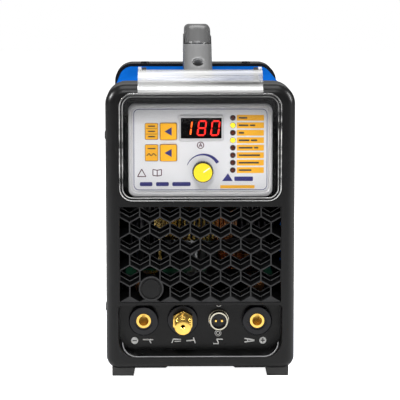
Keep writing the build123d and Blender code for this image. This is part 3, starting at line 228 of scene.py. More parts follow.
def powder_coat():
    """Bright blue powder coat with a fine orange peel outside, and painted shade inside: faces
    that look inward are painted near black.
    """
    made = shader_material("blue_powder_coat", (0.002, 0.068, 0.30), 0.4,
                           Specular_IOR_Level=0.0)
    relief(made, noise(made, 700, detail=2), 0.05, strength=0.5, edge=0.4)
    mottle(made, noise(made, 9), (0.002, 0.063, 0.28), (0.003, 0.075, 0.33))
    spread(made, noise(made, 30), "Roughness", 0.34, 0.46)
    tree = made.node_tree
    place = tree.nodes.new("ShaderNodeTexCoord")
    from_middle = tree.nodes.new("ShaderNodeMapping")
    from_middle.inputs["Location"].default_value = (0, 0, -COVER_MIDDLE_Z * MM)
    outward = tree.nodes.new("ShaderNodeVectorMath")
    outward.operation = "DOT_PRODUCT"
    tree.links.new(place.outputs["Object"], from_middle.inputs["Vector"])
    tree.links.new(from_middle.outputs["Vector"], outward.inputs[0])
    tree.links.new(place.outputs["Normal"], outward.inputs[1])
    # Painted shade: faces that look in towards the cover's middle are coloured near black in
    # place of the blue.
    inside_painted_shade = math_node(tree, "LESS_THAN", outward.outputs["Value"], 0.0)
    repaint(made, inside_painted_shade, second=(0.004, 0.004, 0.005))
    return made


def moulded_handle(name, colour):
    """Satin grey plastic, lit as if crowned across, with painted shade that darkens it down in
    its recesses.
    """
    made = plastic(name, colour, 0.24, depth=0.01, edge=6.0, vary=0.05)
    tree = made.node_tree
    bevel = next(node for node in tree.nodes if node.bl_idname == "ShaderNodeBevel")
    bevel.samples = 8
    grain = bevel.outputs["Normal"].links[0].to_node
    place = tree.nodes.new("ShaderNodeTexCoord")
    across = xyz_of(tree, place.outputs["Object"])["X"]
    square = math_node(tree, "MULTIPLY", across, across)
    domed = tree.nodes.new("ShaderNodeBump")
    domed.inputs["Distance"].default_value = 1.0
    tree.links.new(math_node(tree, "MULTIPLY", square, -HANDLE_CROWN), domed.inputs["Height"])
    tree.links.new(bevel.outputs["Normal"], domed.inputs["Normal"])
    tree.links.new(domed.outputs["Normal"], grain.inputs["Normal"])
    # Painted shade: the colour goes to near black where ambient occlusion finds the surface
    # hemmed in.
    painted_shade_occlusion = tree.nodes.new("ShaderNodeAmbientOcclusion")
    painted_shade_occlusion.inputs["Distance"].default_value = HANDLE_PAINTED_SHADE_REACH * MM
    painted_shade_openness = math_node(tree, "POWER", painted_shade_occlusion.outputs["AO"], 2.5)
    repaint(made, painted_shade_openness, first=(0.002, 0.002, 0.002))
    return made


def clear_polycarbonate(name, thin, grazing, colour, roughness):
    """A clear sheet that thickens to the eye where it turns away."""
    made = shader_material(name, colour, roughness, Specular_IOR_Level=0.9)
    tree = made.node_tree
    turn = tree.nodes.new("ShaderNodeLayerWeight")
    turn.inputs["Blend"].default_value = 0.55
    ramp = tree.nodes.new("ShaderNodeMapRange")
    ramp.inputs["From Min"].default_value = 0.68
    ramp.inputs["To Min"].default_value = thin
    ramp.inputs["To Max"].default_value = grazing
    tree.links.new(turn.outputs["Facing"], ramp.inputs["Value"])
    tree.links.new(ramp.outputs["Result"], tree.nodes["Principled BSDF"].inputs["Alpha"])
    relief(made, noise(made, 25, detail=2), 0.15, strength=0.35, edge=0.3)
    # Painted reflection: the sheet's colour is streaked between near black and its own pale
    # colour.
    painted_reflection_streaks = noise(made, 42, detail=3, stretch=(0.12, 3, 3))
    mottle(made, painted_reflection_streaks, [c * 0.08 for c in colour], colour)
    return made


def up_the_door(tree, height, low, high, most):
    """Grows from nothing at one height on the closed door to its most at another."""
    ramp = tree.nodes.new("ShaderNodeMapRange")
    for socket, level in (("From Min", low), ("From Max", high)):
        share = (level - DOOR_LOW.z) / (DOOR_HIGH.z - DOOR_LOW.z)
        ramp.inputs[socket].default_value = share
    ramp.inputs["To Max"].default_value = most
    tree.links.new(height, ramp.inputs["Value"])
    return ramp.outputs["Result"]


def clear_door_painted_light():
    """The door's clear sheet, with painted reflection along its hood, where it turns hazy white
    with streaks, and painted shade just below it.
    """
    made = clear_polycarbonate("clear_polycarbonate", 0.004, 0.78, (0.9, 0.9, 0.89), 0.05)
    tree = made.node_tree
    place = tree.nodes.new("ShaderNodeTexCoord")
    height = xyz_of(tree, place.outputs["Generated"])["Z"]
    hood = up_the_door(tree, height, HOOD_FOOT - 2.5, HOOD_FOOT + 0.5, 1.0)
    # Painted shade from the hood: the sheet turns darker and less clear over the 30 mm below it.
    painted_hood_shade = up_the_door(tree, height, HOOD_FOOT - 30.0, HOOD_FOOT - 2.0, 0.45)
    alpha = tree.nodes["Principled BSDF"].inputs["Alpha"]
    cover = alpha.links[0].from_socket
    for layer in (math_node(tree, "MULTIPLY", hood, HOOD_PAINTED_REFLECTION), painted_hood_shade):
        cover = math_node(tree, "MAXIMUM", cover, layer)
    tree.links.new(cover, alpha)
    # Off the hood the sheet is coloured near black, which gives the painted shade its darkness;
    # on the hood it keeps its streaked pale colour as painted reflection.
    repaint(made, hood, first=(0.02, 0.02, 0.021))
    return made


def glowing(name, colour, strength):
    return shader_material(name, colour, 0.3, Emission_Color=(*colour, 1),
                           Emission_Strength=strength)


def grille_plastic():
    """The shell's plastic, with a painted highlight: lighter grey on the front-facing faces of
    the lattice's front edges.
    """
    made = plastic("grille_plastic", (0.003, 0.003, 0.0033), 0.4, Specular_IOR_Level=0.2)
    tree = made.node_tree
    # Painted highlight: faces that look straight to the front, near the lattice's front, are made
    # lighter grey.
    shape = tree.nodes.new("ShaderNodeNewGeometry")
    facing = math_node(tree, "LESS_THAN", xyz_of(tree, shape.outputs["Normal"])["Y"], -0.95)
    front = math_node(tree, "LESS_THAN", xyz_of(tree, shape.outputs["Position"])["Y"],
                      (GRILLE_LOW.y + EDGE_HIGHLIGHT_DEPTH) * MM)
    painted_edge_highlight = math_node(tree, "MULTIPLY", facing, front)
    repaint(made, painted_edge_highlight, second=(0.024, 0.024, 0.025))
    return made


LOOKS = {
    "shell": plastic("black_shell_plastic", (0.0045, 0.0045, 0.0047), 0.3,
                     Specular_IOR_Level=0.2),
    "grille": grille_plastic(),
    "gloss": plastic("gloss_black_plastic", (0.002, 0.002, 0.0022), 0.22, depth=0.006,
                     Specular_IOR_Level=0.2),
    "collar": plastic("collar_plastic", (0.002, 0.002, 0.004), 0.24, depth=0.01,
                      Specular_IOR_Level=0.3),
    "blue": powder_coat(),
    "light_grey": plastic("light_grey_plastic", (0.56, 0.56, 0.57), 0.38, vary=0.03),
    "film": plastic("printed_film", (0.74, 0.74, 0.76), 0.36, depth=0.01, vary=0.02),
    "display": plastic("display_filter", (0.002, 0.0015, 0.0015), 0.2, depth=0.0, edge=0.0,
                       Specular_IOR_Level=0.08),
    "yellow_key": plastic("yellow_key_plastic", (0.98, 0.46, 0.008), 0.34, vary=0.04),
    "yellow_cap": plastic("yellow_knob_plastic", (0.93, 0.72, 0.01), 0.36, vary=0.04),
    "orange_ink": plastic("orange_ink", (0.92, 0.44, 0.012), 0.45, depth=0.005, vary=0.05),
    "blue_ink": plastic("dark_blue_ink", (0.018, 0.018, 0.16), 0.45, depth=0.005),
    "mark_ink": plastic("mark_ink", (0.085, 0.018, 0.035), 0.45, depth=0.005),
    "dark_ink": plastic("dark_ink", (0.035, 0.030, 0.028), 0.45, depth=0.005),
    "white_ink": plastic("white_ink", (0.80, 0.80, 0.78), 0.5, depth=0.005, vary=0.04),
    "pointer_painted_highlight": plastic("pointer_painted_highlight", (0.98, 0.95, 0.78), 0.5, depth=0.005, vary=0.02),
    "red_segment": glowing("red_segment", (0.9, 0.012, 0.006), 1.0),
    "amber_segment": glowing("amber_segment", (1.0, 0.13, 0.008), 1.0),
    "lamp_lit": glowing("lamp_lit", (1.0, 0.80, 0.02), 0.75),
    "lamp_dark": plastic("lamp_dark", (0.075, 0.012, 0.006), 0.2, depth=0.0),
    "lamp_collar": plastic("lamp_collar", (0.03, 0.012, 0.01), 0.35, depth=0.005),
    "brass": metal("machined_brass", (0.88, 0.56, 0.13), 0.2),
    "chrome": metal("chromed_shell", (0.50, 0.47, 0.38), 0.16),
    "zinc": metal("zinc_plate", (0.55, 0.56, 0.57), 0.34),
    "steel": metal("turned_steel", (0.5, 0.5, 0.51), 0.25),
    "black_screw": metal("blackened_screw", (0.035, 0.035, 0.037), 0.35),
    "foot": plastic("foot_rubber", (0.014, 0.014, 0.014), 0.62, grain=500, depth=0.06),
    "handle": moulded_handle("handle_plastic", (0.14, 0.14, 0.14)),
    "grip": moulded_handle("grip_plastic", (0.08, 0.08, 0.08)),
    "part_black": plastic("small_part_plastic", (0.02, 0.02, 0.02), 0.45),
    "rocker": plastic("red_rocker", (0.55, 0.02, 0.015), 0.28),
    "nylon": plastic("white_nylon", (0.72, 0.70, 0.62), 0.5),
    "board": plastic("circuit_board", (0.015, 0.10, 0.045), 0.4, vary=0.3),
    "aluminium": metal("anodised_aluminium", (0.03, 0.03, 0.032), 0.4, stretch=(1, 0.02, 1)),
    "ferrite": plastic("ferrite", (0.025, 0.024, 0.026), 0.6),
    "copper": metal("enamelled_copper", (0.80, 0.36, 0.14), 0.28),
    "gold_wire": metal("gold_enamel_wire", (0.85, 0.58, 0.16), 0.26),
    # Painted highlight: a lighter grey for the light caught along the connector bay's lower lip.
    "bay_lip_painted_highlight": plastic("bay_lip_highlight_grey", (0.2, 0.2, 0.205), 0.3),
    # Painted highlight: the grille's lips are a lighter grey than the black grille, for the light
    # lines they catch.
    "lip": plastic("grille_lip_painted_highlight", (0.045, 0.045, 0.047), 0.4),
    "hose": plastic("rubber_hose", (0.012, 0.012, 0.012), 0.5),
    "clear": clear_door_painted_light(),
    # Painted highlight: nearly opaque white for the bright lines along the clear door's rim.
    "clear_edge_painted_highlight": clear_polycarbonate("clear_edge_painted_highlight", 0.6, 0.95, (0.95, 0.95, 0.94), 0.06),
}

CAD_LOOKS = {
    "shell": ("front_panel", "rear_panel", "blanking_plug"),
    "grille": ("front_grille",),
    "gloss": ("connector_plate",),
    "collar": ("negative_socket_flange", "positive_socket_flange", "torch_flange",
               "aviation_insulator"),
    "blue": ("top_cover",),
    "light_grey": ("control_bezel", "display_frame"),
    "film": ("control_overlay",),
    "display": ("display_window", "display_module"),
    "yellow_key": ("mode_button", "wave_button"),
    "brass": ("negative_socket_insert", "positive_socket_insert", "torch_connector",
              "aviation_pins", "gas_inlet", "gas_valve_body"),
    "chrome": ("aviation_shell",),
    "zinc": ("base_plate", "board_supports", "panel_nuts"),
    "steel": ("potentiometer_shaft", "valve_plunger"),
    "black_screw": ("door_hinge_pins", "case_screws", "handle_screws", "fan_screws", "fan_guard"),
    "foot": ("feet",),
    "handle": ("handle_body",),
    "grip": ("handle_grip",),
    "part_black": ("key_switches", "power_switch_body", "cable_gland", "fan_housing",
                   "fan_rotor", "potentiometer_body", "power_transistors", "capacitors",
                   "knob_skirt"),
    "yellow_cap": ("knob_cap",),
    "lamp_dark": ("indicator_leds",),
    "rocker": ("power_rocker",),
    "nylon": ("pcb_standoffs",),
    "board": ("control_board", "power_board"),
    "aluminium": ("heatsinks",),
    "ferrite": ("transformer_core", "output_choke_core"),
    "copper": ("transformer_winding", "output_choke_winding", "busbars"),
    "hose": ("gas_hose",),
    "clear": ("clear_door",),
}


def dress_cad_nodes():
    for look, names in CAD_LOOKS.items():
        for name in names:
            for place in nodes[name].material_slots:
                place.material = LOOKS[look]


# ---- mesh helpers -----------------------------------------------------------------

def piece(name, bm, look, body="root", smooth=False):
    """Turns a bmesh drawn in millimetres into a piece that rides on a body."""
    bmesh.ops.scale(bm, vec=(MM, MM, MM), verts=bm.verts)
    bmesh.ops.recalc_face_normals(bm, faces=bm.faces)
    mesh = bpy.data.meshes.new(name)
    bm.to_mesh(mesh)
    bm.free()
    made = bpy.data.objects.new(name, mesh)
    bpy.context.scene.collection.objects.link(made)
    mesh.materials.append(LOOKS[look])
    if smooth:
        mesh.shade_smooth()
        mesh.set_sharp_from_angle(angle=math.radians(35))
    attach(made, body)
    return made


def slab(bm, outline, front, back):
    """A flat X-Z outline given thickness between two depths."""
    near = [bm.verts.new((x, front, z)) for x, z in outline]
    far = [bm.verts.new((x, back, z)) for x, z in outline]
    bm.faces.new(near)
    bm.faces.new(far[::-1])
    for i in range(len(outline)):
        j = (i + 1) % len(outline)
        bm.faces.new((near[i], far[i], far[j], near[j]))


def band(bm, outer, inner, front, back, closed=True):
    """A flat strip between two outlines with the same number of points."""
    rows = [[bm.verts.new((x, y, z)) for x, z in line]
            for line, y in ((outer, front), (inner, front), (inner, back), (outer, back))]
    count = len(outer)
    for i in range(count if closed else count - 1):
        j = (i + 1) % count
        for a, b in ((0, 1), (1, 2), (2, 3), (3, 0)):
            bm.faces.new((rows[a][i], rows[a][j], rows[b][j], rows[b][i]))
    if not closed:
        for i in (0, count - 1):
            bm.faces.new([row[i] for row in rows])


def rounded(x0, x1, z0, z1, radius, steps=6):
    """The outline of a rounded rectangle."""
    points = []
    corners = ((x1 - radius, z1 - radius, 0), (x0 + radius, z1 - radius, 90),
               (x0 + radius, z0 + radius, 180), (x1 - radius, z0 + radius, 270))
    for cx, cz, start in corners:
        for i in range(steps + 1):
            angle = math.radians(start + 90 * i / steps)
            points.append((cx + radius * math.cos(angle), cz + radius * math.sin(angle)))
    return points


def circle(x, z, radius, steps=32):
    turn = 2 * math.pi / steps
    return [(x + radius * math.cos(i * turn), z + radius * math.sin(i * turn))
            for i in range(steps)]


def line(a, b, width):
    """The outline of a straight stroke."""
    run = Vector((b[0] - a[0], b[1] - a[1]))
    side = Vector((-run.y, run.x)).normalized() * width / 2
    return [(a[0] + side.x, a[1] + side.y), (a[0] - side.x, a[1] - side.y),
            (b[0] - side.x, b[1] - side.y), (b[0] + side.x, b[1] + side.y)]


def printed(name, outlines, look, y, body="root", height=INK):
    """Ink marks on a face that looks towards -Y."""
    bm = bmesh.new()
    for outline in outlines:
        slab(bm, outline, y - height, y + SINK)
    return piece(name, bm, look, body)


def lathe(bm, profile, x, z, steps=64):
    """Turns a profile of (radius, y) about the Y axis through x, z."""
    rings = []
    for radius, y in profile:
        if radius == 0:
            rings.append([bm.verts.new((x, y, z))])
            continue
        rings.append([bm.verts.new((px, y, pz)) for px, pz in circle(x, z, radius, steps)])
    for first, second in zip(rings, rings[1:]):
        for i in range(steps):
            j = (i + 1) % steps
            loop = [first[i % len(first)], first[j % len(first)],
                    second[j % len(second)], second[i % len(second)]]
            unique = list(dict.fromkeys(loop))
            if len(unique) > 2:
                bm.faces.new(unique)


# ---- control panel print ----------------------------------------------------------

def border_line():
    bm = bmesh.new()
    inset = 1.2
    x0, x1 = OVERLAY_LOW.x + inset, OVERLAY_HIGH.x - inset
    z0, z1 = OVERLAY_LOW.z + inset, OVERLAY_HIGH.z - inset
    width = 0.55
    outer = rounded(x0, x1, z0, z1, 5.0)
    inner = rounded(x0 + width, x1 - width, z0 + width, z1 - width, 5.0 - width)
    band(bm, outer, inner, PRINT_Y - INK, PRINT_Y + SINK)
    return piece("overlay_border", bm, "blue_ink")


def key_tiles():
    """The two tiles left of the keys: a list of three modes and a wave choice."""
    x, half, key_half, tall = TILE_X, 6.0, 7.95, 7.6
    tiles, marks = [], []
    borders = bmesh.new()
    for name in ("mode_button", "wave_button"):
        low, high = low_high(name)
        z = (low.z + high.z) / 2
        for middle, side in ((x, half), ((low.x + high.x) / 2, key_half)):
            outer = rounded(middle - side - 0.25, middle + side + 0.25, z - 7.95, z + 7.95, 1.4)
            inner = rounded(middle - side + 0.15, middle + side - 0.15, z - 7.55, z + 7.55, 1.1)
            band(borders, outer, inner, PRINT_Y - INK, PRINT_Y + SINK)
        tiles.append(rounded(x - half, x + half, z - tall, z + tall, 1.2))
        if name == "mode_button":
            for row in (4.9, 0.0, -4.9):
                marks.append(line((x - 3.2, z + row), (x + 3.2, z + row), 1.1))
            for row in (2.5, -2.5):
                marks.append(line((x - 5.0, z + row), (x + 5.0, z + row), 0.35))
            continue
        marks.append(line((x - 3.6, z + 4.0), (x + 3.6, z + 4.0), 1.0))
        wave = [(-4.6, -2.9), (-2.4, -0.6), (-0.4, -2.9), (1.8, -0.6), (4.4, -2.9)]
        for a, b in zip(wave, wave[1:]):
            marks.append(line((x + a[0], z + a[1]), (x + b[0], z + b[1]), 0.8))
    printed("mode_tiles", tiles, "orange_ink", PRINT_Y)
    piece("tile_borders", borders, "blue_ink")
    printed("mode_tile_marks", marks, "dark_ink", PRINT_Y - INK)


def key_arrows():
    """A dark blue arrowhead on each key, which moves with it."""
    for name, body in (("mode_button", "mode_key"), ("wave_button", "wave_key")):
        low, high = low_high(name)
        middle = (low + high) / 2
        arrow = [(middle.x - 3.7, middle.z), (middle.x + 3.0, middle.z + 3.9),
                 (middle.x + 3.0, middle.z - 3.9)]
        printed(f"{body}_arrow", [arrow], "blue_ink", low.y, body)


def lamp_rows():
    top = LED_HIGH.z - (LED_HIGH.x - LED_LOW.x) / 2
    bottom = LED_LOW.z + (LED_HIGH.x - LED_LOW.x) / 2
    pitch = (top - bottom) / (LED_COUNT - 1)
    return [top - i * pitch for i in range(LED_COUNT)]


def label_bars():
    """A plain bar beside each lamp with generic dashes in place of its words."""
    x0, x1 = OVERLAY_HIGH.x - 29.8, OVERLAY_HIGH.x - 4.4
    dashes = ((8,), (9, 5), (5,), (10, 6), (13, 4), (20,), (19,), (12,))
    bars, marks = [], []
    for z, lengths in zip(lamp_rows(), dashes):
        bars.append(rounded(x0, x1, z - 2.75, z + 2.75, 0.5, 3))
        x = x0 + 1.8
        for length in lengths:
            marks.append(rounded(x, x + length, z - 0.75, z + 0.75, 0.4, 2))
            x += length + 1.4
    printed("lamp_label_bars", bars, "orange_ink", PRINT_Y)
    printed("lamp_label_dashes", marks, "dark_ink", PRINT_Y - INK)


def lamps():
    """Domed lamps in their collars, two of them lit."""
    x = (LED_LOW.x + LED_HIGH.x) / 2
    radius = (LED_HIGH.x - LED_LOW.x) / 2
    lit, dark, collars = bmesh.new(), bmesh.new(), bmesh.new()
    for i, z in enumerate(lamp_rows()):
        dome = [(0, PRINT_Y - 0.85), (0.8, PRINT_Y - 0.8), (1.4, PRINT_Y - 0.6),
                (1.75, PRINT_Y - 0.3), (1.8, LED_HIGH.y)]
        if i in LIT_LEDS:
            dome = [(r * 1.28, y) for r, y in dome]
        lathe(lit if i in LIT_LEDS else dark, dome, x, z, 32)
        inner = 2.32 if i in LIT_LEDS else 1.82
        collar = [(inner, PRINT_Y + 1), (inner, PRINT_Y - 0.45), (radius - 0.2, PRINT_Y - 0.4),
                  (radius, PRINT_Y - 0.1), (radius, PRINT_Y + 1), (inner, PRINT_Y + 1)]
        lathe(collars, collar, x, z, 32)
    shown = piece("lamps_dark", dark, "lamp_dark", smooth=True)
    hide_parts("indicator_leds")
    piece("lamps_lit", lit, "lamp_lit", smooth=True)
    piece("lamp_collars", collars, "lamp_collar", smooth=True)


def segment(x, z, ends, width):
    """One bar of a seven-segment digit, pointed at both ends."""
    (ax, az), (bx, bz) = ends
    run = Vector((bx - ax, bz - az)).normalized()
    side = Vector((-run.y, run.x)) * width / 2
    a = Vector((ax, az)) + run * 0.35
    b = Vector((bx, bz)) - run * 0.35
    inner = run * width / 2
    corners = [a, a + inner + side, b - inner + side, b, b - inner - side, a + inner - side]
    return [(x + p.x + 0.13 * p.y, z + p.y) for p in corners]


def display_digits():
    half_w, half_h = 3.4, 6.6
    bars = {"a": ((-half_w, half_h), (half_w, half_h)), "g": ((-half_w, 0), (half_w, 0)),
            "d": ((-half_w, -half_h), (half_w, -half_h)), "f": ((-half_w, half_h), (-half_w, 0)),
            "b": ((half_w, half_h), (half_w, 0)), "e": ((-half_w, 0), (-half_w, -half_h)),
            "c": ((half_w, 0), (half_w, -half_h))}
    digits = (("bc", -12.7, "amber_segment"), ("abcdefg", 0.6, "red_segment"),
              ("abcdef", 13.2, "red_segment"))
    for number, (lit, shift, look) in enumerate(digits):
        outlines = [segment(DISPLAY.x + shift, DISPLAY.z, bars[bar], 1.45) for bar in lit]
        printed(f"display_digit_{number + 1}", outlines, look, WINDOW_FRONT,
                height=0.12)


def ampere_mark():
    x, z = DISPLAY.x - 0.6, DISPLAY.z - 16.1
    bm = bmesh.new()
    band(bm, circle(x, z, 3.4), circle(x, z, 2.6), PRINT_Y - INK, PRINT_Y + SINK)
    for a, b in (((-1.4, -1.5), (0, 1.9)), ((1.4, -1.5), (0, 1.9)), ((-0.8, -0.5), (0.8, -0.5))):
        slab(bm, line((x + a[0], z + a[1]), (x + b[0], z + b[1]), 0.75),
             PRINT_Y - INK, PRINT_Y + SINK)
    piece("ampere_mark", bm, "mark_ink")


def swoosh():
    """The sweep over the knob that grows from its thin end to its thick end."""
    start, stop, steps = 158, 30, 40
    outer, inner = [], []
    for i in range(steps + 1):
        share = i / steps
        angle = math.radians(start + (stop - start) * share)
        thick = 0.5 + 2.7 * share ** 1.3
        for points, radius in ((outer, 15.7 + thick * 0.62), (inner, 15.7 - thick * 0.38)):
            points.append((KNOB.x + radius * math.cos(angle), KNOB.z + radius * math.sin(angle)))
    bm = bmesh.new()
    band(bm, outer, inner, PRINT_Y - INK, PRINT_Y + 0.01, closed=False)
    piece("knob_sweep", bm, "blue_ink")


def plain_marks():
    """A plain triangle, an open book, a row of blocks and bars in place of any name."""
    left, foot = OVERLAY_LOW.x, OVERLAY_LOW.z
    triangle = [(-3.9, -3.4), (3.9, -3.4), (0, 3.6), (-3.9, -3.4)]
    page = [(0, -3.0), (-4.0, -2.4), (-4.0, 3.2), (0, 2.4), (4.0, 3.2), (4.0, -2.4), (0, -3.0),
            (0, 2.4)]
    marks = []
    for x, z, path in ((left + 8.7, foot + 17.4, triangle), (left + 23.2, foot + 17.5, page)):
        for a, b in zip(path, path[1:]):
            marks.append(line((x + a[0], z + a[1]), (x + b[0], z + b[1]), 0.85))
    printed("plain_pictograms", marks, "mark_ink", PRINT_Y)
    blocks = []
    for x0, x1 in ((6.9, 18.7), (22.1, 34.1), (37.3, 54.5)):
        blocks.append(rounded(left + x0, left + x1, foot + 5.0, foot + 8.8, 1.2, 4))
    blocks.append(rounded(left + 95.5, left + 113.0, foot + 9.7, foot + 13.9, 0.9, 3))
    blocks.append([(left + 84.0, foot + 9.7), (left + 94.0, foot + 9.7),
                   (left + 89.5, foot + 17.0)])
    printed("plain_name_blocks", blocks, "blue_ink", PRINT_Y)
    bar = rounded(left + 82.3, left + 114.5, foot + 2.8, foot + 5.8, 0.6, 3)
    printed("plain_yellow_bar", [bar], "orange_ink", PRINT_Y)


# ---- knob -------------------------------------------------------------------------

def knob():
    """A fluted black skirt and a domed yellow cap, its pointer a pale line painted as the
    highlight on a raised ridge.
    """
    radius = (SKIRT_HIGH.x - SKIRT_LOW.x) / 2
    bm = bmesh.new()
    flutes, steps = 24, 240
    rows = ((0.86, SKIRT_LOW.y), (0.93, SKIRT_LOW.y + 0.15), (0.96, SKIRT_LOW.y + 0.7),
            (1.0, SKIRT_HIGH.y - 0.8), (1.0, SKIRT_HIGH.y), (0.4, SKIRT_HIGH.y))
    rings = []
    for share, y in rows:
        ring = []
        for i in range(steps):
            angle = 2 * math.pi * i / steps
            flute = 0.22 * max(0.0, math.cos(angle * flutes)) if 0.9 < share else 0.0
            r = radius * share - flute
            ring.append(bm.verts.new((KNOB.x + r * math.cos(angle), y,
                                      KNOB.z + r * math.sin(angle))))
        rings.append(ring)
    bm.faces.new(rings[0])
    for first, second in zip(rings, rings[1:]):
        for i in range(steps):
            j = (i + 1) % steps
            bm.faces.new((first[i], first[j], second[j], second[i]))
    skirt = piece("knob_fluted_skirt", bm, "collar", "knob", smooth=True)
    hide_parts("knob_skirt")
    angle = math.radians(35)
    way = Vector((math.cos(angle), math.sin(angle)))
    a = (KNOB.x + way.x * 0.5, KNOB.z + way.y * 0.5)
    b = (KNOB.x + way.x * 7.6, KNOB.z + way.y * 7.6)
    # Painted highlight: the pointer is drawn as a pale line for the light along a raised ridge.
    printed("knob_pointer", [line(a, b, 1.0)], "pointer_painted_highlight", CAP_FRONT, "knob")


# ---- grille and windings ----------------------------------------------------------

def cell_centres():
    first = GRILLE_LOW.z + 0.2 + CELL_SIDE / 2 + CELL_SLANT
    for row in range(6):
        for i in range(-4, 5):
            whole = row % 2 == 0
            if whole or i < 4:
                x = (i if whole else i + 0.5) * CELL_PITCH
                yield x, first + row * (CELL_SIDE + CELL_SLANT)


def grille_lips():
    """A rounded lip across each cell's climbing floor, half way in and at its back edge, in a
    lighter grey as a painted highlight.
    """
    bm = bmesh.new()
    back_y = GRILLE_HIGH.y - 0.4
    step_y = (GRILLE_LOW.y + GRILLE_HIGH.y) / 2
    half = CELL_PITCH / 2 - 0.6
    tip = CELL_SIDE / 2 + CELL_SLANT - 0.7
    shoulder = tip - half * CELL_SLANT / (CELL_PITCH / 2)
    plug = centre("blanking_plug")
    for x, z in cell_centres():
        if abs(x) > 4 * CELL_PITCH - 1 or math.hypot(x - plug.x, z - plug.z) < 12:
            continue
        left = (x - half, z + CELL_RISE - shoulder)
        middle = (x, z + CELL_RISE - tip)
        right = (x + half, z + CELL_RISE - shoulder)
        for a, b in ((left, middle), (middle, right)):
            slab(bm, line(a, b, 1.0), back_y, back_y + 0.35)
            lower = [(p[0], p[1] - CELL_RISE / 2 + 0.25) for p in (a, b)]
            slab(bm, line(*lower, 0.8), step_y, step_y + 0.5)
    piece("grille_back_lips", bm, "lip")


def round_wire(bm, path, radius, sides=8, closed=True):
    """A round wire along a path of points, closed on itself or open."""
    rings = []
    count = len(path)
    for i, here in enumerate(path):
        before = path[i - 1] if closed or i else here
        after = path[(i + 1) % count] if closed or i < count - 1 else here
        run = (after - before).normalized()
        side = run.orthogonal().normalized() if abs(run.z) > 0.99 else run.cross((0, 0, 1))
        side.normalize()
        up = side.cross(run)
        rings.append([bm.verts.new(here + radius * (side * math.cos(2 * math.pi * k / sides)
                                                    + up * math.sin(2 * math.pi * k / sides)))
                      for k in range(sides)])
    for i in range(count if closed else count - 1):
        for k in range(sides):
            j = (k + 1) % sides
            following = rings[(i + 1) % count]
            bm.faces.new((rings[i][k], rings[i][j], following[j], following[k]))


def toroid_turns():
    """Turns of heavy wire wound through the ring core, gold on the left, copper right."""
    low, high = low_high("output_choke_core")
    middle = (low + high) / 2
    outer = (high.x - low.x) / 2 + CHOKE_WRAP
    inner = CHOKE_BORE - CHOKE_WRAP
    wire, turns = 1.55, 52
    gold, copper = bmesh.new(), bmesh.new()
    for i in range(turns):
        angle = 2 * math.pi * (i + 0.5) / turns
        way = Vector((math.cos(angle), math.sin(angle), 0))
        section = rounded(inner, outer, low.z - CHOKE_WRAP, high.z + CHOKE_WRAP, 3.0, 3)
        loop = [middle + way * r + Vector((0, 0, z - middle.z)) for r, z in section]
        round_wire(gold if way.x < 0.45 else copper, loop, wire)
    winding = piece("choke_gold_turns", gold, "gold_wire", smooth=True)
    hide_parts("output_choke_winding")
    piece("choke_copper_turns", copper, "copper", smooth=True)
    choke_lead(low.z, middle.x - 35.0, middle.y - 17.0)


def choke_lead(core_foot, x, y):
    """Two gold wires side by side, down from the ring core and out to the left."""
    end = low_high("output_choke_winding")[0]
    floor_z = end.z + 1.6
    path = [Vector(p) for p in ((x, y, core_foot + 4), (x, y, floor_z + 8),
                                (x - 1, y, floor_z + 3), (x - 4, y, floor_z),
                                (end.x + 2, y, floor_z))]
    lead = bmesh.new()
    for shift in (-1.6, 1.6):
        round_wire(lead, [p + Vector((0, shift, 0)) for p in path], 1.5, closed=False)
    piece("choke_lead", lead, "gold_wire", smooth=True)


def transformer_turns():
    """Level turns of copper wire stacked round the transformer's middle limb."""
    low, high = low_high("transformer_winding")
    bm = bmesh.new()
    wire = 1.1
    z = low.z + wire
    while z < high.z - wire:
        loop = [Vector((x, y, z)) for x, y in rounded(low.x + wire, high.x - wire,
                                                      low.y + wire, high.y - wire, 5.0)]
        round_wire(bm, loop, wire)
        z += 2.3
    made = piece("transformer_turns", bm, "copper", smooth=True)
    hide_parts("transformer_winding")


# ---- connector bay ----------------------------------------------------------------

def hex_ring(bm, x, z, flats, front, back):
    """A hexagon bar with its corners turned off at the front."""
    steps = 72
    near, shoulder, far = [], [], []
    for i in range(steps):
        angle = 2 * math.pi * i / steps
        fold = (math.degrees(angle) + 30) % 60 - 30
        reach = flats / 2 / math.cos(math.radians(fold))
        flat = min(reach, flats / 2 * 1.01)
        drop = (reach - flat) * 0.6
        way = (math.cos(angle), math.sin(angle))
        near.append(bm.verts.new((x + way[0] * flat, front, z + way[1] * flat)))
        shoulder.append(bm.verts.new((x + way[0] * reach, front + drop + 0.01,
                                      z + way[1] * reach)))
        far.append(bm.verts.new((x + way[0] * reach, back, z + way[1] * reach)))
    bm.faces.new(near)
    bm.faces.new(far[::-1])
    for first, second in ((near, shoulder), (shoulder, far)):
        for i in range(steps):
            j = (i + 1) % steps
            bm.faces.new((first[i], first[j], second[j], second[i]))


def torch_stud():
    """The brass torch stud: hexagon, threaded tube and its small gas hole."""
    low, high = low_high("torch_connector")
    hex_back = low_high("torch_flange")[0].y
    hex_front = hex_back - 7.0
    tip = low.y
    outer, root, bore = 7.8, 7.1, 1.55
    profile = [(bore, tip + 9), (bore, tip + 0.9), (bore + 0.7, tip + 0.2), (6.2, tip),
               (6.9, tip + 0.3)]
    y = tip + 1.0
    while y < hex_front - 1.6:
        profile += [(root, y), (outer, y + 0.45), (outer, y + 0.75), (root, y + 1.2)]
        y += 1.5
    profile += [(root, y), (root, hex_front + 0.5)]
    bm = bmesh.new()
    lathe(bm, profile, TORCH.x, TORCH.z)
    hex_ring(bm, TORCH.x, TORCH.z, 18.0, hex_front, hex_back)
    lathe(bm, [(6.0, hex_back - 0.5), (6.0, high.y - 8), (3.0, high.y - 8), (3.0, high.y),
               (0, high.y)], TORCH.x, TORCH.z)
    made = piece("threaded_torch_stud", bm, "brass", smooth=True)
    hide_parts("torch_connector")


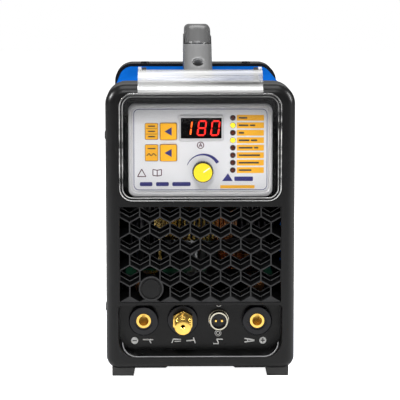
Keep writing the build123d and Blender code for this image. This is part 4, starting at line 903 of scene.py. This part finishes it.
def bay_marks():
    """White pictograms under the connectors, drawn with plain strokes and discs."""
    y, z = BAY_LOW.y, CONTROL.z - 20.4
    minus_x, plus_x, dial_x = NEGATIVE.x - 8.7, POSITIVE.x + 5.8, CONTROL.x - 0.6
    discs = bmesh.new()
    for x in (minus_x, plus_x):
        slab(discs, circle(x, z, 3.3), y - INK, y + SINK)
    piece("polarity_discs", discs, "white_ink")
    signs = [line((x - 2, z), (x + 2, z), 1.0) for x in (minus_x, plus_x)]
    signs.append(line((plus_x, z - 2), (plus_x, z + 2), 1.0))
    printed("polarity_signs", signs, "dark_ink", y - INK)
    pictograms = (
        (NEGATIVE.x + 4.0, (((-5, 0.9), (4.6, 0.9), 1.2), ((1, 0.9), (3, -2.6), 0.8))),
        (TORCH.x - 6.3, (((-4, -2.4), (-2.6, 1.4), 1.0), ((-2.6, 1.4), (4.6, 1.0), 1.1),
                         ((-1.5, -0.9), (4.6, -0.6), 0.9))),
        (TORCH.x + 8.3, (((-4.8, -0.3), (2.4, 0.3), 1.3), ((1.8, 2.8), (3.8, -2.6), 1.1))),
        (CONTROL.x - 0.6, (((-1.4, 1.4), (4.6, 0.9), 1.0), ((-1.4, 1.4), (0.2, -1.6), 1.0),
                           ((-4.4, -3.2), (0.4, -3.2), 1.0), ((0.2, -1.6), (0.4, -3.2), 1.0))),
        (POSITIVE.x - 7.0, (((-4.6, 1.8), (4.8, 0.3), 1.1), ((-4.6, -1.6), (4.8, -0.3), 1.1),
                            ((-2.0, 1.4), (-1.4, -1.2), 1.0))),
        (CONTROL.x, (((-2.2, 33.6), (0, 32.6), 0.9), ((0, 32.6), (2.2, 33.6), 0.9))),
    )
    strokes = [line((x + a[0], z + a[1]), (x + b[0], z + b[1]), width)
               for x, parts in pictograms for a, b, width in parts]
    printed("bay_pictograms", strokes, "white_ink", y)
    dial = bmesh.new()
    for outer, inner in ((3.2, 2.6), (1.9, 1.2)):
        band(dial, circle(dial_x, z + 7.2, outer), circle(dial_x, z + 7.2, inner),
             y - INK, y + SINK)
    piece("dial_pictogram", dial, "white_ink")


def bay_lip():
    """A lighter grey strip round the foot of the connector bay, a painted highlight along its
    lip.
    """
    reach, radius, foot = 73.5, 14.0, BAY_LOW.z + 2.6
    outer, inner = [], []
    for points, inset in ((outer, 0.0), (inner, 0.8)):
        for side, first, last in ((-1, 180, 270), (1, 270, 360)):
            for step in range(9):
                angle = math.radians(first + (last - first) * step / 8)
                points.append((side * (reach - radius) + (radius - inset) * math.cos(angle),
                               foot + radius + (radius - inset) * math.sin(angle)))
    bm = bmesh.new()
    band(bm, outer, inner, FRONT_Y - 0.3, FRONT_Y + 0.05, closed=False)
    piece("bay_lip", bm, "bay_lip_painted_highlight")


# ---- door rim ---------------------------------------------------------------------

def door_beads():
    """Two fine raised beads that run round the clear pane, coloured nearly opaque white as a
    painted highlight on the door's rim.
    """
    half = DOOR_HIGH.x
    y = DOOR_LOW.y
    for number, (inset, width) in enumerate(((0.5, 0.9), (3.2, 0.7))):
        bm = bmesh.new()
        outer = rounded(-half + inset, half - inset, DOOR_LOW.z + inset, HOOD_FOOT - inset,
                        13.0 - inset, 10)
        grow = inset + width
        inner = rounded(-half + grow, half - grow, DOOR_LOW.z + grow, HOOD_FOOT - grow,
                        13.0 - grow, 10)
        band(bm, outer, inner, y + 0.02, y + 0.4)
        piece(f"door_bead_{number + 1}", bm, "clear_edge_painted_highlight", "door")


# ---- stage, light and camera ------------------------------------------------------

def floor():
    """The pale floor, lifted to full white where it is seen directly."""
    bm = bmesh.new()
    bmesh.ops.create_grid(bm, x_segments=1, y_segments=1, size=6.0)
    mesh = bpy.data.meshes.new("floor")
    bm.to_mesh(mesh)
    bm.free()
    made = bpy.data.objects.new("floor", mesh)
    bpy.context.scene.collection.objects.link(made)
    white = plastic("pale_floor", (0.8, 0.8, 0.8), 0.8, depth=0.0, edge=0.0, vary=0.01,
                    Emission_Color=(1, 1, 1, 1))
    tree = white.node_tree
    rays = tree.nodes.new("ShaderNodeLightPath")
    tree.links.new(rays.outputs["Is Camera Ray"],
                   tree.nodes["Principled BSDF"].inputs["Emission Strength"])
    mesh.materials.append(white)


def area_light(name, place_m, aim_m, width_m, height_m, watts):
    data = bpy.data.lights.new(name, "AREA")
    data.shape = "RECTANGLE"
    data.size = width_m
    data.size_y = height_m
    data.energy = watts
    made = bpy.data.objects.new(name, data)
    made.location = place_m
    made.rotation_euler = (Vector(aim_m) - Vector(place_m)).to_track_quat("-Z", "Y").to_euler()
    bpy.context.scene.collection.objects.link(made)


def studio():
    bpy.context.scene.view_settings.view_transform = "Standard"
    world = bpy.data.worlds.new("studio")
    bpy.context.scene.world = world
    world.use_nodes = True
    tree = world.node_tree
    soft = tree.nodes["Background"]
    soft.inputs["Color"].default_value = (1, 1, 1, 1)
    soft.inputs["Strength"].default_value = 0.19
    seen = tree.nodes.new("ShaderNodeBackground")
    seen.inputs["Color"].default_value = (1, 1, 1, 1)
    rays = tree.nodes.new("ShaderNodeLightPath")
    mix = tree.nodes.new("ShaderNodeMixShader")
    tree.links.new(rays.outputs["Is Camera Ray"], mix.inputs["Fac"])
    tree.links.new(soft.outputs["Background"], mix.inputs[1])
    tree.links.new(seen.outputs["Background"], mix.inputs[2])
    tree.links.new(mix.outputs["Shader"], tree.nodes["World Output"].inputs["Surface"])
    middle_m = (0, 0, 0.2)
    for light in (
        ("top_softbox", (0.0, -0.3, 1.7), 1.2, 1.0, 20),
        ("front_softbox", (-0.2, -2.4, 1.9), 0.9, 0.6, 30),
        ("left_softbox", (-1.6, -0.45, 1.05), 0.4, 0.5, 42),
        ("right_softbox", (1.6, -0.45, 0.9), 0.25, 0.9, 36),
        ("back_light", (0, 1.8, 1.5), 2.0, 1.0, 8),
    ):
        area_light(light[0], light[1], middle_m, *light[2:])


def camera():
    data = bpy.data.cameras.new("camera")
    data.lens = CAMERA_LENS
    data.clip_start = 0.05
    made = bpy.data.objects.new("camera", data)
    made.location = CAMERA_M
    made.rotation_euler = (Vector(AIM_M) - made.location).to_track_quat("-Z", "Y").to_euler()
    bpy.context.scene.collection.objects.link(made)
    bpy.context.scene.camera = made


camera()
studio()
floor()
dress_cad_nodes()
border_line()
key_tiles()
key_arrows()
label_bars()
lamps()
display_digits()
ampere_mark()
swoosh()
plain_marks()
knob()
grille_lips()
toroid_turns()
transformer_turns()
torch_stud()
bay_marks()
bay_lip()
door_beads()
